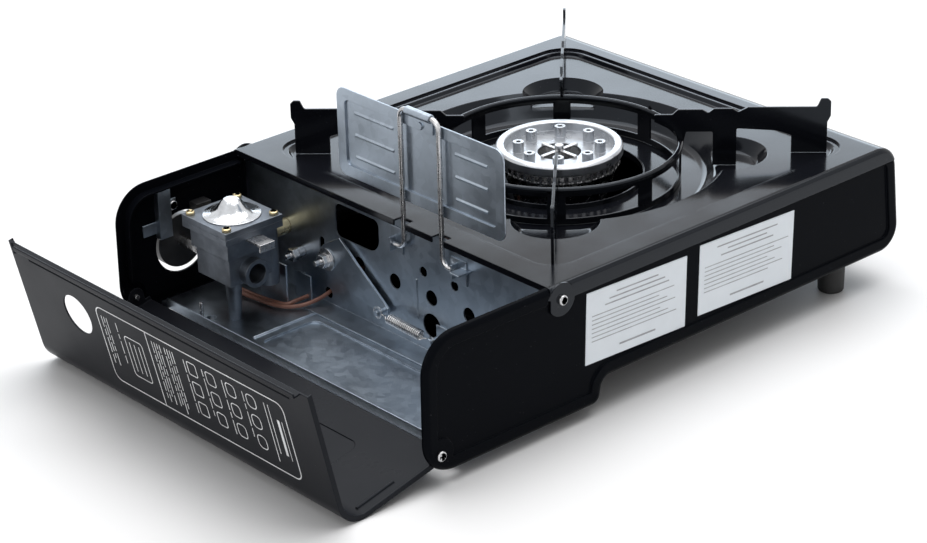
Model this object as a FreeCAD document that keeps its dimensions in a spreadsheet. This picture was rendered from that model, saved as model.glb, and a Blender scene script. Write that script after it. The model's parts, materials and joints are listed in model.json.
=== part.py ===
import FreeCAD, Part
import math
import os
import re
from types import SimpleNamespace

import Sketcher
from FreeCAD import Placement, Rotation, Vector

# Portable gas stove for a cassette cartridge, lid open.
# X runs from the burner side (-X) to the cartridge compartment (+X).
# The knob is on the front (-Y) and the long plain panel with two labels on the rear (+Y).
# Z is up from the table that the feet stand on. All sizes are millimetres.

SIZES = [
    # housing outline, seen from the rear
    ("left_low", 174.9),
    ("left_top", 168.5),
    ("right_low", 176.6),
    ("right_top", 175.6),
    ("rim_z", 83.0),
    ("base_z", 20.0),
    ("bay_z", 6.5),
    ("step_low_x", 57.5),
    ("step_high_x", 55.0),
    ("left_r", 14.0),
    ("right_top_r", 21.0),
    ("right_low_r", 20.0),
    ("step_r", 6.0),
    ("half_depth", 128.0),
    ("skin", 1.2),
    ("fit", 0.1),
    # end panels
    ("flange_deep", 8.0),
    ("edge_r", 4.0),
    ("band", 8.5),
    ("field_deep", 1.4),
    ("ledge_drop", 5.6),
    ("ledge_end_z", 30.0),
    ("rim_wide", 3.2),
    ("seam_x", 92.0),
    ("skirt_high", 9.3),
    ("boss_r", 9.0),
    ("boss_in", 7.5),
    ("end_gap", 3.6),
    ("boss_drop", 8.3),
    # screws that show
    ("screw_r", 1.5),
    ("head_r", 2.8),
    ("head_high", 1.9),
    # top plate
    ("plate_edge_r", 3.0),
    ("well_in_left", 24.0),
    ("well_in_right", 19.5),
    ("well_in_side", 19.5),
    ("well_r", 13.0),
    ("well_slope", 1.8),
    ("well_z", 79.5),
    ("well_step", 3.2),
    ("sheet", 1.0),
    ("burner_x", -36.0),
    ("dish_r", 92.0),
    ("dish_low_r", 80.0),
    ("dish_z", 66.0),
    ("dish_hole_r", 46.0),
    ("dish_lip", 3.0),
    ("seat_reach", 90.3),
    ("seat_r", 23.5),
    ("seat_low_r", 18.5),
    ("seat_deep", 7.4),
    ("notch_wide", 9.0),
    ("notch_deep", 5.8),
    # partition and compartment floor
    ("wall_x", 86.0),
    ("floor_x", 150.0),
    ("floor_step", 1.1),
    ("floor_sink", 0.5),
    ("tray_x0", 104.0),
    ("tray_x1", 142.0),
    ("tray_r", 5.0),
    ("tray_front", 82.0),
    ("tray_rear", 10.0),
    ("ridge_gap", 6.0),
    ("lip_short", 5.0),
    ("pin_hole_r", 2.5),
    ("pin_hole_x", 142.8),
    ("pin_hole_front", 39.8),
    ("floor_pin_r", 1.1),
    ("floor_pin_high", 9.0),
    ("floor_pin_x", 146.5),
    ("floor_pin_front", 36.2),
    ("strip_wide", 14.0),
    ("floor_lip", 3.5),
    # holes in the partition
    ("vent_y", -28.1),
    ("vent_pitch", 29.3),
    ("vent_z", 42.7),
    ("vent_r", 4.3),
    ("wide_vent_y", 30.2),
    ("wide_vent_z", 26.2),
    ("wide_vent_r", 7.0),
    ("bail_hole_z", 56.0),
    ("bail_hole_r", 2.8),
    ("lead_hole_y", -56.1),
    ("lead_hole_z", 16.5),
    ("lead_hole_r", 3.2),
    ("window_y0", -47.0),
    ("window_y1", -11.0),
    ("window_z0", 54.0),
    ("window_z1", 73.6),
    ("window_r", 4.0),
    ("window_cut_r", 9.0),
    ("slit_y", -59.7),
    ("slit_z", 45.0),
    ("slit_high", 8.0),
    ("slit_wide", 4.0),
    ("crease_y", 19.0),
    ("crease_z0", 27.0),
    ("crease_z1", 50.0),
    ("crease_r", 0.6),
    # feet
    ("foot_r", 7.25),
    ("foot_x", -137.0),
    ("foot_in", 17.0),
    ("short_foot_in", 30.0),
    ("short_foot_x", 104.0),
    # labels
    ("label_long", 72.0),
    ("label_high", 40.0),
    ("label_thick", 0.3),
    ("label_z", 50.0),
    ("label_x", 31.0),
    ("label_pitch", 81.6),
    ("label_tilt", 2.0),
    # lid
    ("hinge_x", 167.0),
    ("hinge_z", 18.4),
    ("lid_reach", 7.5),
    ("lid_drop", 2.6),
    ("lid_fold_r", 15.0),
    ("lid_hem", 2.9),
    ("lid_tail", 8.4),
    ("lid_gap_x", 0.4),
    ("lid_table_gap", 0.2),
    ("ear_r", 5.0),
    ("strip_high", 7.0),
    ("strip_over", 1.7),
    ("lid_hole_r", 11.6),
    ("lid_hole_left", 8.3),
    ("lid_rib_in", 8.4),
    ("lid_field_deep", 0.5),
    ("lid_field_r", 6.0),
    ("strip_short", 10.0),
    ("strip_end", 6.0),
    ("hook_r", 1.4),
    ("hook_in", 3.0),
    ("groove_in", 16.0),
    ("lid_field_half", 78.5),
    # burner
    ("head_out_r", 35.2),
    ("head_in_r", 30.1),
    ("head_top_z", 85.7),
    ("head_low_z", 79.2),
    ("head_floor_z", 80.6),
    ("port_out_r", 33.4),
    ("port_wall", 3.4),
    ("port_low_z", 74.2),
    ("port_wide", 2.4),
    ("post_circle_r", 22.4),
    ("post_r", 3.1),
    ("post_hole_r", 1.3),
    ("post_up", 0.9),
    ("well_hole_r", 12.0),
    ("bowl_r", 31.0),
    ("bowl_low_r", 19.0),
    ("bowl_z", 36.0),
    ("bowl_wall", 1.2),
    ("tube_z", 46.0),
    ("tube_r", 8.0),
    ("tube_wall", 1.5),
    ("tube_bend", 35.0),
    ("tube_start", 6.0),
    ("tube_stop", 4.0),
    ("bracket_half", 9.0),
    ("bracket_wide", 8.0),
    ("bracket_foot", 12.0),
    ("outlet_back", 9.5),
    ("jet_r", 4.5),
    ("jet_bore_r", 0.6),
    ("jet_neck", 5.0),
    ("electrode_r", 2.6),
    ("electrode_reach", 41.0),
    ("electrode_turn", 225.0),
    ("electrode_low_z", 56.0),
    ("spark_wire_r", 0.8),
    ("spark_gap", 2.5),
    ("strap_z", 66.0),
    ("strap_half", 3.0),
    ("strap_in", 6.0),
    # pressure regulator
    ("reg_x", 129.5),
    ("reg_front", 46.5),
    ("cover_half", 19.4),
    ("cover_z", 66.0),
    ("cover_thick", 3.6),
    ("reg_block_half", 14.5),
    ("reg_block_z", 35.0),
    ("shoulder_half", 16.5),
    ("shoulder_high", 10.8),
    ("diaphragm_deep", 3.0),
    ("screw_pitch", 32.0),
    ("dome_r", 16.0),
    ("dome_high", 9.0),
    ("dome_rim", 4.0),
    ("nozzle_off", 0.5),
    ("nozzle_long", 20.5),
    ("nozzle_z", 41.0),
    ("nozzle_r", 8.0),
    ("nozzle_ring", 2.0),
    ("nozzle_deep", 16.0),
    ("seal_thick", 3.0),
    ("stem_long", 2.8),
    ("nozzle_bore_r", 5.6),
    ("tower_left", 16.5),
    ("tower_back", 7.5),
    ("tower_r", 6.2),
    ("tower_z", 26.5),
    ("leg_right", 4.5),
    ("leg_back", 3.5),
    ("leg_r", 3.6),
    ("guide_long", 31.0),
    ("guide_wide", 10.0),
    ("guide_drop", 4.5),
    ("guide_thick", 1.4),
    ("shelf_thick", 1.2),
    ("shelf_left", 9.0),
    ("shelf_right", 6.0),
    ("shelf_gap", 0.8),
    ("igniter_r", 6.0),
    ("igniter_left", 8.5),
    ("igniter_rise", 5.0),
    ("igniter_half", 5.0),
    ("igniter_tail", 7.0),
    # knob
    ("knob_off", 2.5),
    ("knob_z", 40.4),
    ("knob_skirt", 5.0),
    ("knob_chamfer", 2.0),
    ("knob_hole_r", 18.0),
    ("knob_r", 15.5),
    ("knob_out", 20.0),
    ("grip_thick", 7.0),
    ("grip_slot", 1.2),
    ("spindle_r", 3.0),
    ("spindle_in", 11.0),
    ("spindle_share", 0.6),
    ("collar_thick", 2.0),
    ("dial_wide", 2.2),
    ("dial_thick", 0.8),
    # cartridge lock
    ("lever_x", 145.2),
    ("lever_half", 4.2),
    ("lever_top_z", 76.0),
    ("lever_low_z", 47.5),
    ("lever_travel", 12.0),
    ("lever_neck_z", 66.0),
    ("lever_neck_high", 5.0),
    ("lever_neck_half", 1.4),
    ("lever_play", 0.3),
    ("channel_deep", 4.3),
    ("channel_wall", 1.0),
    ("channel_flap", 7.0),
    ("channel_screw_drop", 11.5),
    ("tip_left", 2.2),
    ("tip_right", 6.2),
    ("tip_out", 6.5),
    ("tip_gap", 1.4),
    ("tip_high", 8.0),
    ("bolt_y", -77.1),
    ("bolt_z", 34.9),
    ("bolt_tail", 3.0),
    ("bolt_long", 12.5),
    ("nut_r", 4.0),
    ("washer_r", 3.3),
    ("wide_washer_r", 6.5),
    ("washer_thick", 0.8),
    ("nut_thick", 4.0),
    ("lead_tab_out", 7.0),
    ("lead_tab_front", 51.4),
    ("lead_tab_long", 13.9),
    ("lead_tab_high", 15.3),
    ("lead_r", 1.15),
    ("arm_front", 76.5),
    ("arm_z", 39.3),
    ("arm_thick", 1.5),
    ("arm_gap", 2.0),
    ("hook_long", 47.0),
    ("hook_z", 25.0),
    ("anchor_long", 43.0),
    ("anchor_z", 23.1),
    ("anchor_half", 6.0),
    ("pin_tail", 2.0),
    ("spring_out", 8.0),
    ("loose_eye", 1.0),
    ("spring_r", 2.5),
    ("spring_wire_r", 0.45),
    ("spring_pitch", 1.34),
    ("spring_turns", 19),
    ("pin_r", 1.5),
    # heat plate and its wire bail
    ("bail_x", 88.9),
    ("bail_z", 67.0),
    ("bail_wire_r", 1.4),
    ("bail_y0", 13.5),
    ("bail_y1", 43.5),
    ("bail_top_z", 146.6),
    ("bail_bend_r", 5.0),
    ("pin_long", 11.0),
    ("ear_half", 4.0),
    ("heat_long", 130.0),
    ("heat_high", 50.0),
    ("heat_y", 25.0),
    ("heat_drop", 28.0),
    ("heat_border", 6.5),
    ("bead_r", 0.9),
    ("bead_short", 7.0),
    ("bead_bail_gap", 9.0),
    ("bead_sink", 0.2),
    ("heat_r", 6.0),
    ("heat_sheet", 1.0),
    ("heat_press", 1.2),
    ("bead_gap", 0.3),
    ("clip_wall", 0.9),
    ("clip_half", 9.5),
    ("strap_drop", 6.2),
    ("rivet_drop", 3.4),
    ("rivet_r", 2.0),
    ("rivet_high", 1.0),
    # pan support
    ("ring_r", 66.4),
    ("ring_wall", 1.2),
    ("rest_gap", 0.3),
    ("ring_top_z", 86.0),
    ("roll_r", 1.6),
    ("window_low_z", 69.8),
    ("window_high_z", 82.4),
    ("window_turn", 36.4),
    ("arm_sheet", 1.6),
    ("arm_tab", 1.5),
    ("finger_in", 14.4),
    ("finger_sink", 14.4),
    ("neck_low", 6.1),
    ("arch_rise", 8.0),
    ("crest_rise", 19.1),
    ("crest_dip", 3.0),
    ("crest_step", 2.0),
    ("bump_in", 18.0),
    ("bump_out", 28.0),
    ("bump_slant", 3.2),
    ("shelf_in", 36.4),
    ("tip_rise", 25.2),
    ("tip_wide", 4.0),
    ("tip_deep", 10.0),
    ("tip_over", 1.8),
    ("tip_slant", 3.6),
    ("leg_out", 79.4),
    ("leg_wide", 19.4),
    ("inner_leg_wide", 12.9),
    # place of the whole in its own frame, set once everything is built
    ("frame_x", 0.0),
    ("frame_y", 0.0),
]

# Places that follow from the sizes, as expressions of them.
PLACES = [
    ("boss_x", "seam_x - boss_in"),
    ("well_x0", "-left_top + well_in_left"),
    ("well_x1", "seam_x - well_in_right"),
    ("well_half", "half_depth - well_in_side"),
    ("floor_half", "half_depth - end_gap"),
    ("tray_y0", "tray_front - half_depth"),
    ("tray_y1", "half_depth - tray_rear"),
    ("pin_hole_y", "pin_hole_front - half_depth"),
    ("floor_pin_y", "floor_pin_front - half_depth"),
    ("foot_y", "half_depth - foot_in"),
    ("short_foot_y", "half_depth - short_foot_in"),
    ("lid_half", "half_depth - end_gap"),
    ("lid_rib_y", "lid_half - lid_rib_in"),
    ("reg_y", "reg_front - half_depth"),
    ("outlet_y", "reg_y - outlet_back"),
    ("nozzle_x", "reg_x + nozzle_off"),
    ("nozzle_end_y", "reg_y + nozzle_long"),
    ("tower_x", "reg_x - tower_left"),
    ("tower_y", "reg_y + tower_back"),
    ("leg_x", "reg_x + leg_right"),
    ("leg_y", "reg_y + leg_back"),
    ("guide_end_y", "reg_y + guide_long"),
    ("lid_hole_x", "reg_x - lid_hole_left"),
    ("lid_hole_y", "reg_y + tower_back"),
    ("knob_x", "reg_x + knob_off"),
    ("igniter_x", "reg_x - igniter_left"),
    ("arm_y", "arm_front - half_depth"),
    ("lead_tab_y", "lead_tab_front - half_depth"),
    ("hook_y", "arm_y + hook_long"),
    ("anchor_y", "hook_y + anchor_long"),
    ("spring_x", "wall_x + spring_out"),
    ("heat_z", "bail_top_z - heat_drop"),
]

doc = FreeCAD.newDocument("cassette_stove")
sheet = doc.addObject("Spreadsheet::Sheet", "sizes")
for row, (alias, number) in enumerate(SIZES, start=1):
    sheet.set("A%d" % row, alias)
    sheet.set("B%d" % row, repr(number))
    sheet.setAlias("B%d" % row, alias)
doc.recompute()
S = SimpleNamespace(**{alias: float(sheet.get(alias)) for alias, _ in SIZES})
PLACE_TEXT = dict(PLACES)
NODES = []

AXES = {
    "x": Rotation(Vector(0, 1, 0), 90),
    "y": Rotation(Vector(1, 0, 0), -90),
    "z": Rotation(),
}


def on_sheet(found):
    """One word of an expression: a size's cell, a place written out in sizes, or the word itself."""
    word = found.group(0)
    if word in PLACE_TEXT:
        return "(%s)" % e(PLACE_TEXT[word])
    return "sizes." + word if hasattr(S, word) else word


def e(text):
    """Expression text with every name pointed at the sheet."""
    return re.sub(r"[a-z][a-z0-9_]*", on_sheet, text)


places = doc.addObject("App::VarSet", "places")
for name, text in PLACES:
    places.addProperty("App::PropertyFloat", name)
    places.setExpression(name, e(text))
doc.recompute()
for name in PLACE_TEXT:
    setattr(S, name, getattr(places, name))


def place(obj, x, y, z, turn=None):
    obj.Placement = Placement(Vector(), turn or Rotation())
    obj.setExpression("Placement.Base.x", e(x))
    obj.setExpression("Placement.Base.y", e(y))
    obj.setExpression("Placement.Base.z", e(z))
    return obj


def block(x0, x1, y0, y1, z0, z1):
    """Box between two positions along each axis."""
    obj = doc.addObject("Part::Box", "block")
    obj.setExpression("Length", e("(%s) - (%s)" % (x1, x0)))
    obj.setExpression("Width", e("(%s) - (%s)" % (y1, y0)))
    obj.setExpression("Height", e("(%s) - (%s)" % (z1, z0)))
    return place(obj, x0, y0, z0)


def rod(radius, length, x, y, z, axis="z"):
    obj = doc.addObject("Part::Cylinder", "rod")
    obj.setExpression("Radius", e(radius))
    obj.setExpression("Height", e(length))
    return place(obj, x, y, z, AXES[axis])


def taper(low, high, length, x, y, z, axis="z"):
    obj = doc.addObject("Part::Cone", "taper")
    obj.setExpression("Radius1", e(low))
    obj.setExpression("Radius2", e(high))
    obj.setExpression("Height", e(length))
    return place(obj, x, y, z, AXES[axis])


def fuse(*shapes):
    obj = doc.addObject("Part::MultiFuse", "joined")
    obj.Shapes = list(shapes)
    return obj


def cut(base, *tools):
    obj = doc.addObject("Part::Cut", "cut")
    obj.Base = base
    obj.Tool = tools[0] if len(tools) == 1 else fuse(*tools)
    return obj


def group(*shapes):
    obj = doc.addObject("Part::Compound", "group")
    obj.Links = list(shapes)
    return obj


def node(label, obj, x="0", y="0", z="0", turn=None):
    """Name a finished sub-part and hang it in the part's own frame."""
    obj.Label = label
    place(obj, "%s - frame_x" % x, "%s - frame_y" % y, z, turn)
    NODES.append(obj)
    return obj


def feature(label, shape):
    obj = doc.addObject("Part::Feature", label)
    obj.Shape = Part.makeCompound([shape.removeSplitter()])
    return node(label, obj)


def sketch(body, role, offset="0"):
    obj = body.newObject("Sketcher::SketchObject", "sketch")
    plane = [item for item in body.Origin.OriginFeatures if item.Role == role][0]
    obj.AttachmentSupport = [(plane, "")]
    obj.MapMode = "FlatFace"
    obj.setExpression("AttachmentOffset.Base.z", e(offset))
    return obj


def pin_point(sk, geo, end, u, v):
    for kind, text in (("DistanceX", u), ("DistanceY", v)):
        index = sk.addConstraint(Sketcher.Constraint(kind, -1, 1, geo, end, 1.0))
        sk.setExpression("Constraints[%d]" % index, e(text))


def draw_polygon(sk, points):
    """Closed outline whose every corner is placed by two size expressions."""
    count = len(points)
    turns = [2 * math.pi * i / count for i in range(count)]
    start = [Vector(math.cos(turn), math.sin(turn), 0) for turn in turns]
    first = len(sk.Geometry)
    for i in range(count):
        sk.addGeometry(Part.LineSegment(start[i], start[(i + 1) % count]))
    for i in range(count):
        sk.addConstraint(Sketcher.Constraint("Coincident", first + i, 2, first + (i + 1) % count, 1))
    for i, (u, v) in enumerate(points):
        pin_point(sk, first + i, 1, u, v)


def draw_circle(sk, u, v, radius):
    geo = sk.addGeometry(Part.Circle(Vector(), Vector(0, 0, 1), 1.0))
    pin_point(sk, geo, 3, u, v)
    index = sk.addConstraint(Sketcher.Constraint("Radius", geo, 1.0))
    sk.setExpression("Constraints[%d]" % index, e(radius))


def pad(body, sk, length, back=False):
    obj = body.newObject("PartDesign::Pad", "pad")
    obj.Profile = sk
    obj.Reversed = back
    obj.setExpression("Length", e(length))
    return obj


def revolve(body, points):
    """Turned piece: the outline is drawn as radius and height."""
    sk = sketch(body, "XZ_Plane")
    draw_polygon(sk, points)
    obj = body.newObject("PartDesign::Revolution", "turned")
    obj.Profile = sk
    obj.ReferenceAxis = (sk, ["V_Axis"])
    obj.Angle = 360
    return obj


# Plain geometry for the pressed sheets.
def rounded(corners, at):
    """Closed wire through corners (u, v, radius), each radius a tangent arc."""
    edges = []
    ends = []
    count = len(corners)
    for i, (u, v, radius) in enumerate(corners):
        here = Vector(u, v, 0)
        before = Vector(corners[i - 1][0], corners[i - 1][1], 0) - here
        after = Vector(corners[(i + 1) % count][0], corners[(i + 1) % count][1], 0) - here
        before.normalize()
        after.normalize()
        half = before.getAngle(after) / 2
        reach = radius / math.tan(half)
        middle = before + after
        middle.normalize()
        centre = here + middle * (radius / math.sin(half))
        ends.append((here + before * reach, centre - middle * radius, here + after * reach, radius))
    for i, (arc_start, arc_mid, arc_end, radius) in enumerate(ends):
        if radius > 0:
            edges.append(Part.Arc(at(arc_start), at(arc_mid), at(arc_end)).toShape())
        following = ends[(i + 1) % count][0]
        if (following - arc_end).Length > 1e-6:
            edges.append(Part.LineSegment(at(arc_end), at(following)).toShape())
    return Part.Wire(Part.__sortEdges__(edges))


def side_on(y):
    return lambda p: Vector(p.x, y, p.y)


def plan_at(z):
    return lambda p: Vector(p.x, p.y, z)


def end_on(x):
    return lambda p: Vector(x, p.x, p.y)


def prism(wire, along):
    return Part.Face(wire).extrude(along)


def inset(wire, distance):
    return Part.Face(wire).makeOffset2D(-distance).OuterWire


def box(x0, x1, y0, y1, z0, z1):
    return Part.makeBox(x1 - x0, y1 - y0, z1 - z0, Vector(x0, y0, z0))


def bar(radius, start, end):
    return Part.makeCylinder(radius, (end - start).Length, start, end - start)


def flat_edges(shape, low, high, axis="Y"):
    """Edges of a shape that lie wholly between two levels of one axis."""
    found = []
    for edge in shape.Edges:
        bounds = edge.BoundBox
        if getattr(bounds, axis + "Min") > low and getattr(bounds, axis + "Max") < high:
            found.append(edge)
    return found


def mirrored_y(shape):
    return shape.mirror(Vector(), Vector(0, 1, 0))


def housing_outline(y):
    corners = [
        (-S.left_top, S.rim_z, S.left_r),
        (S.right_top, S.rim_z, S.right_top_r),
        (S.right_low, S.bay_z, S.right_low_r),
        (S.step_low_x, S.bay_z, S.step_r),
        (S.step_high_x, S.base_z, S.step_r),
        (-S.left_low, S.base_z, S.left_r),
    ]
    return rounded(corners, side_on(y))


BOSS_Z = S.rim_z - S.boss_drop
SKIRT_Z = S.rim_z - S.skirt_high
FIELD_Y = S.half_depth - S.field_deep
BACK_Y = FIELD_Y - S.skin
FAR = 400.0


def end_panel():
    """Pressed end panel, drawn for the rear: rounded rim, flat band, sunk field, lid ledge."""
    flange_y = S.half_depth - S.flange_deep
    inner_y = S.half_depth - S.skin
    outline = housing_outline(flange_y)
    outer = prism(outline, Vector(0, S.flange_deep, 0))
    outer = outer.makeFillet(S.edge_r, flat_edges(outer, S.half_depth - 0.01, S.half_depth + 0.01))
    room = prism(inset(outline, S.skin), Vector(0, inner_y - flange_y, 0))
    room = room.makeFillet(S.edge_r - S.skin, flat_edges(room, inner_y - 0.01, inner_y + 0.01))
    panel = outer.cut(room)
    hinge = Vector(S.hinge_x, 0, S.hinge_z)
    screw_land = bar(S.boss_r, hinge, hinge + Vector(0, FAR, 0))
    land_wall = bar(S.boss_r - S.skin, hinge, hinge + Vector(0, FAR, 0))
    sunk_by = Vector(0, S.half_depth - BACK_Y - S.skin, 0)
    plateau = prism(inset(housing_outline(BACK_Y), S.band - S.skin), sunk_by)
    field = prism(inset(housing_outline(FIELD_Y), S.band), Vector(0, FAR, 0))
    panel = panel.fuse(plateau.cut(land_wall)).cut(field.cut(screw_land))
    return seat_for_plate(seat_for_lid(panel))


def seat_for_lid(panel):
    """The rim round the compartment steps down to a ledge that the closed lid lies on."""
    rim_y = S.half_depth - S.rim_wide
    flange_y = S.half_depth - S.flange_deep
    bay = box(S.seam_x, FAR, flange_y - 1, S.half_depth, S.ledge_end_z, FAR)
    bare = box(S.seam_x, FAR, flange_y - 1, rim_y, S.ledge_end_z, FAR)
    corner = box(S.hinge_x - 2 * S.ear_r, FAR, flange_y - 1, rim_y, 0, S.ledge_end_z + S.skin)
    outline = housing_outline(flange_y)
    ledge = prism(inset(outline, S.ledge_drop), Vector(0, S.flange_deep - S.rim_wide + S.skin, 0))
    ledge = ledge.cut(prism(inset(outline, S.ledge_drop + S.skin), Vector(0, FAR, 0)))
    riser = prism(inset(housing_outline(rim_y), S.skin / 2), Vector(0, S.skin, 0))
    riser = riser.cut(prism(inset(outline, S.ledge_drop + S.skin), Vector(0, FAR, 0)))
    return panel.cut(bare).cut(corner).fuse(ledge.fuse(riser).common(bay))


def seat_for_plate(panel):
    """Under the top plate's skirt the panel is set in, with a round seat at the screw."""
    boss = Vector(S.boss_x, FIELD_Y, BOSS_Z)
    panel = panel.cut(box(-FAR, S.seam_x + S.fit, 0, FAR, SKIRT_Z - S.fit, FAR))
    panel = panel.cut(bar(S.boss_r + S.fit, boss, boss + Vector(0, FAR, 0)))
    tab_z = BOSS_Z - S.boss_r - 2 * S.skin
    tab_left = -S.left_top + S.left_r
    tab = box(tab_left, S.seam_x, BACK_Y, FIELD_Y, tab_z, S.rim_z - S.skin - S.fit)
    panel = panel.fuse(tab)
    for x, z in ((S.boss_x, BOSS_Z), (S.hinge_x, S.hinge_z)):
        panel = panel.cut(bar(S.screw_r + S.fit, Vector(x, 0, z), Vector(x, FAR, z)))
    return panel


def slot_box():
    """Slot in the front panel that the lock lever's neck travels in."""
    low = S.lever_neck_z - S.lever_travel - 2 * S.fit
    high = S.lever_neck_z + S.lever_neck_high + 2 * S.fit
    half = S.lever_neck_half + 2 * S.fit
    return box(S.lever_x - half, S.lever_x + half, -FAR, 0, low, high)


PANEL = end_panel()
feature("rear_panel", PANEL)
knob_axis = Vector(S.knob_x, -FAR, S.knob_z)
front = mirrored_y(PANEL).cut(bar(S.knob_hole_r, knob_axis, Vector(S.knob_x, 0, S.knob_z))).cut(slot_box())
feature("front_panel", front)


def rounded_rectangle(x0, x1, half, radius, z):
    corners = [(x0, -half, radius), (x1, -half, radius), (x1, half, radius), (x0, half, radius)]
    return rounded(corners, plan_at(z))


def well_ring(grow, z):
    return rounded_rectangle(S.well_x0 - grow, S.well_x1 + grow, S.well_half + grow, S.well_r + grow, z)


def seat_points():
    for quarter in range(4):
        turn = math.radians(45 + 90 * quarter)
        yield Vector(S.burner_x + S.seat_reach * math.cos(turn), S.seat_reach * math.sin(turn), 0)


def seat_cone(seat, grow):
    """Round sunk seat of one inner leg, from its floor up to the well's floor."""
    low = seat + Vector(0, 0, S.well_z - S.seat_deep - grow)
    return Part.makeCone(S.seat_low_r + grow, S.seat_r + grow, S.seat_deep, low)


def top_plate():
    """Pressed top: skirts on three sides, a stepped square well and a round dish in its middle."""
    outline = housing_outline(-S.half_depth)
    outer = prism(outline, Vector(0, 2 * S.half_depth, 0))
    keep = box(-FAR, S.seam_x, -FAR, FAR, 0, FAR)
    outer = outer.common(box(-FAR, S.seam_x, -FAR, FAR, SKIRT_Z, FAR))
    rims = [edge for side in (-1, 1)
            for edge in flat_edges(outer, side * S.half_depth - 0.01, side * S.half_depth + 0.01)
            if edge.BoundBox.ZMax > SKIRT_Z + 0.1 and edge.BoundBox.XMin < S.seam_x - 0.1]
    outer = outer.makeFillet(S.plate_edge_r, rims)
    room_deep = Vector(0, 2 * (S.half_depth - S.skin), 0)
    room = prism(inset(housing_outline(-S.half_depth + S.skin), S.skin), room_deep)
    plate = outer.cut(room)
    for side in (-1, 1):
        outer_y = side * S.half_depth
        inner_y = side * (S.half_depth - S.skin)
        disc = bar(S.boss_r, Vector(S.boss_x, inner_y, BOSS_Z), Vector(S.boss_x, outer_y, BOSS_Z))
        plate = plate.fuse(disc.common(keep))
    top = S.rim_z
    step_z = top - S.skin
    well_rings = [well_ring(S.well_slope + S.sheet, step_z), well_ring(S.sheet, S.well_z - S.sheet)]
    well_out = Part.makeLoft(well_rings, True, True)
    well_in = Part.makeLoft([well_ring(S.well_slope, step_z), well_ring(0, S.well_z)], True, True)
    step_out = prism(well_ring(S.well_slope + S.well_step + S.sheet, step_z - S.sheet), Vector(0, 0, S.skin))
    step_in = prism(well_ring(S.well_slope + S.well_step, step_z), Vector(0, 0, 2 * S.skin))
    centre = Vector(S.burner_x, 0, 0)
    drop = S.well_z - S.dish_z
    dish_at = centre + Vector(0, 0, S.dish_z - S.sheet)
    dish_out = Part.makeCone(S.dish_low_r + S.sheet, S.dish_r + S.sheet, drop, dish_at)
    dish_in = Part.makeCone(S.dish_low_r, S.dish_r, drop, centre + Vector(0, 0, S.dish_z))
    lip = bar(S.dish_hole_r + S.sheet, centre + Vector(0, 0, S.dish_z - S.sheet),
              centre + Vector(0, 0, S.dish_z + S.dish_lip))
    hole = bar(S.dish_hole_r, centre, centre + Vector(0, 0, S.rim_z - 1))
    seats_in = [seat_cone(seat, 0) for seat in seat_points()]
    seats_out = [seat_cone(seat, S.sheet) for seat in seat_points()]
    plate = plate.fuse([well_out, step_out, dish_out, *seats_out])
    plate = plate.cut([well_in, step_in, dish_in, *seats_in])
    plate = plate.fuse(lip).cut(hole)
    return edge_with_notches(plate)


def edge_with_notches(plate):
    lip_y = BACK_Y - S.fit
    lip = box(S.seam_x - S.sheet, S.seam_x, -lip_y, lip_y, S.rim_z - 3 * S.skin, S.rim_z - S.skin)
    plate = plate.fuse(lip)
    for y in (S.bail_y0, S.bail_y1):
        plate = plate.cut(box(S.seam_x - S.notch_deep, FAR, y - S.notch_wide / 2, y + S.notch_wide / 2,
                              S.rim_z - 4 * S.skin, FAR))
    for side in (-1, 1):
        hole_from = Vector(S.boss_x, side * BACK_Y, BOSS_Z)
        hole = bar(S.screw_r + S.fit, hole_from, hole_from + Vector(0, side * FAR, 0))
        plate = plate.cut(hole)
    return plate


feature("top_plate", top_plate())

BAY_Z = S.bay_z + S.skin + S.fit
FLOOR_Z = BAY_Z + S.sheet + S.floor_step


def base_pan():
    """Folded bottom and side sheet that follows the end panels inside their flanges."""
    half = S.half_depth - S.edge_r - S.fit
    outline = housing_outline(-half)
    pan = prism(inset(outline, S.skin + S.fit), Vector(0, 2 * half, 0))
    pan = pan.cut(prism(inset(outline, S.skin + S.fit + S.sheet), Vector(0, 2 * half, 0)))
    keep = box(-FAR, S.wall_x - 2 * S.sheet, -FAR, FAR, 0, SKIRT_Z - S.fit)
    pan = pan.common(keep)
    for side in (-1, 1):
        foot = Vector(S.foot_x, side * S.foot_y, 0)
        pan = pan.cut(bar(S.screw_r + S.fit, foot, foot + Vector(0, 0, S.base_z + 2 * S.left_r)))
    return pan


feature("base_pan", base_pan())


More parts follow.
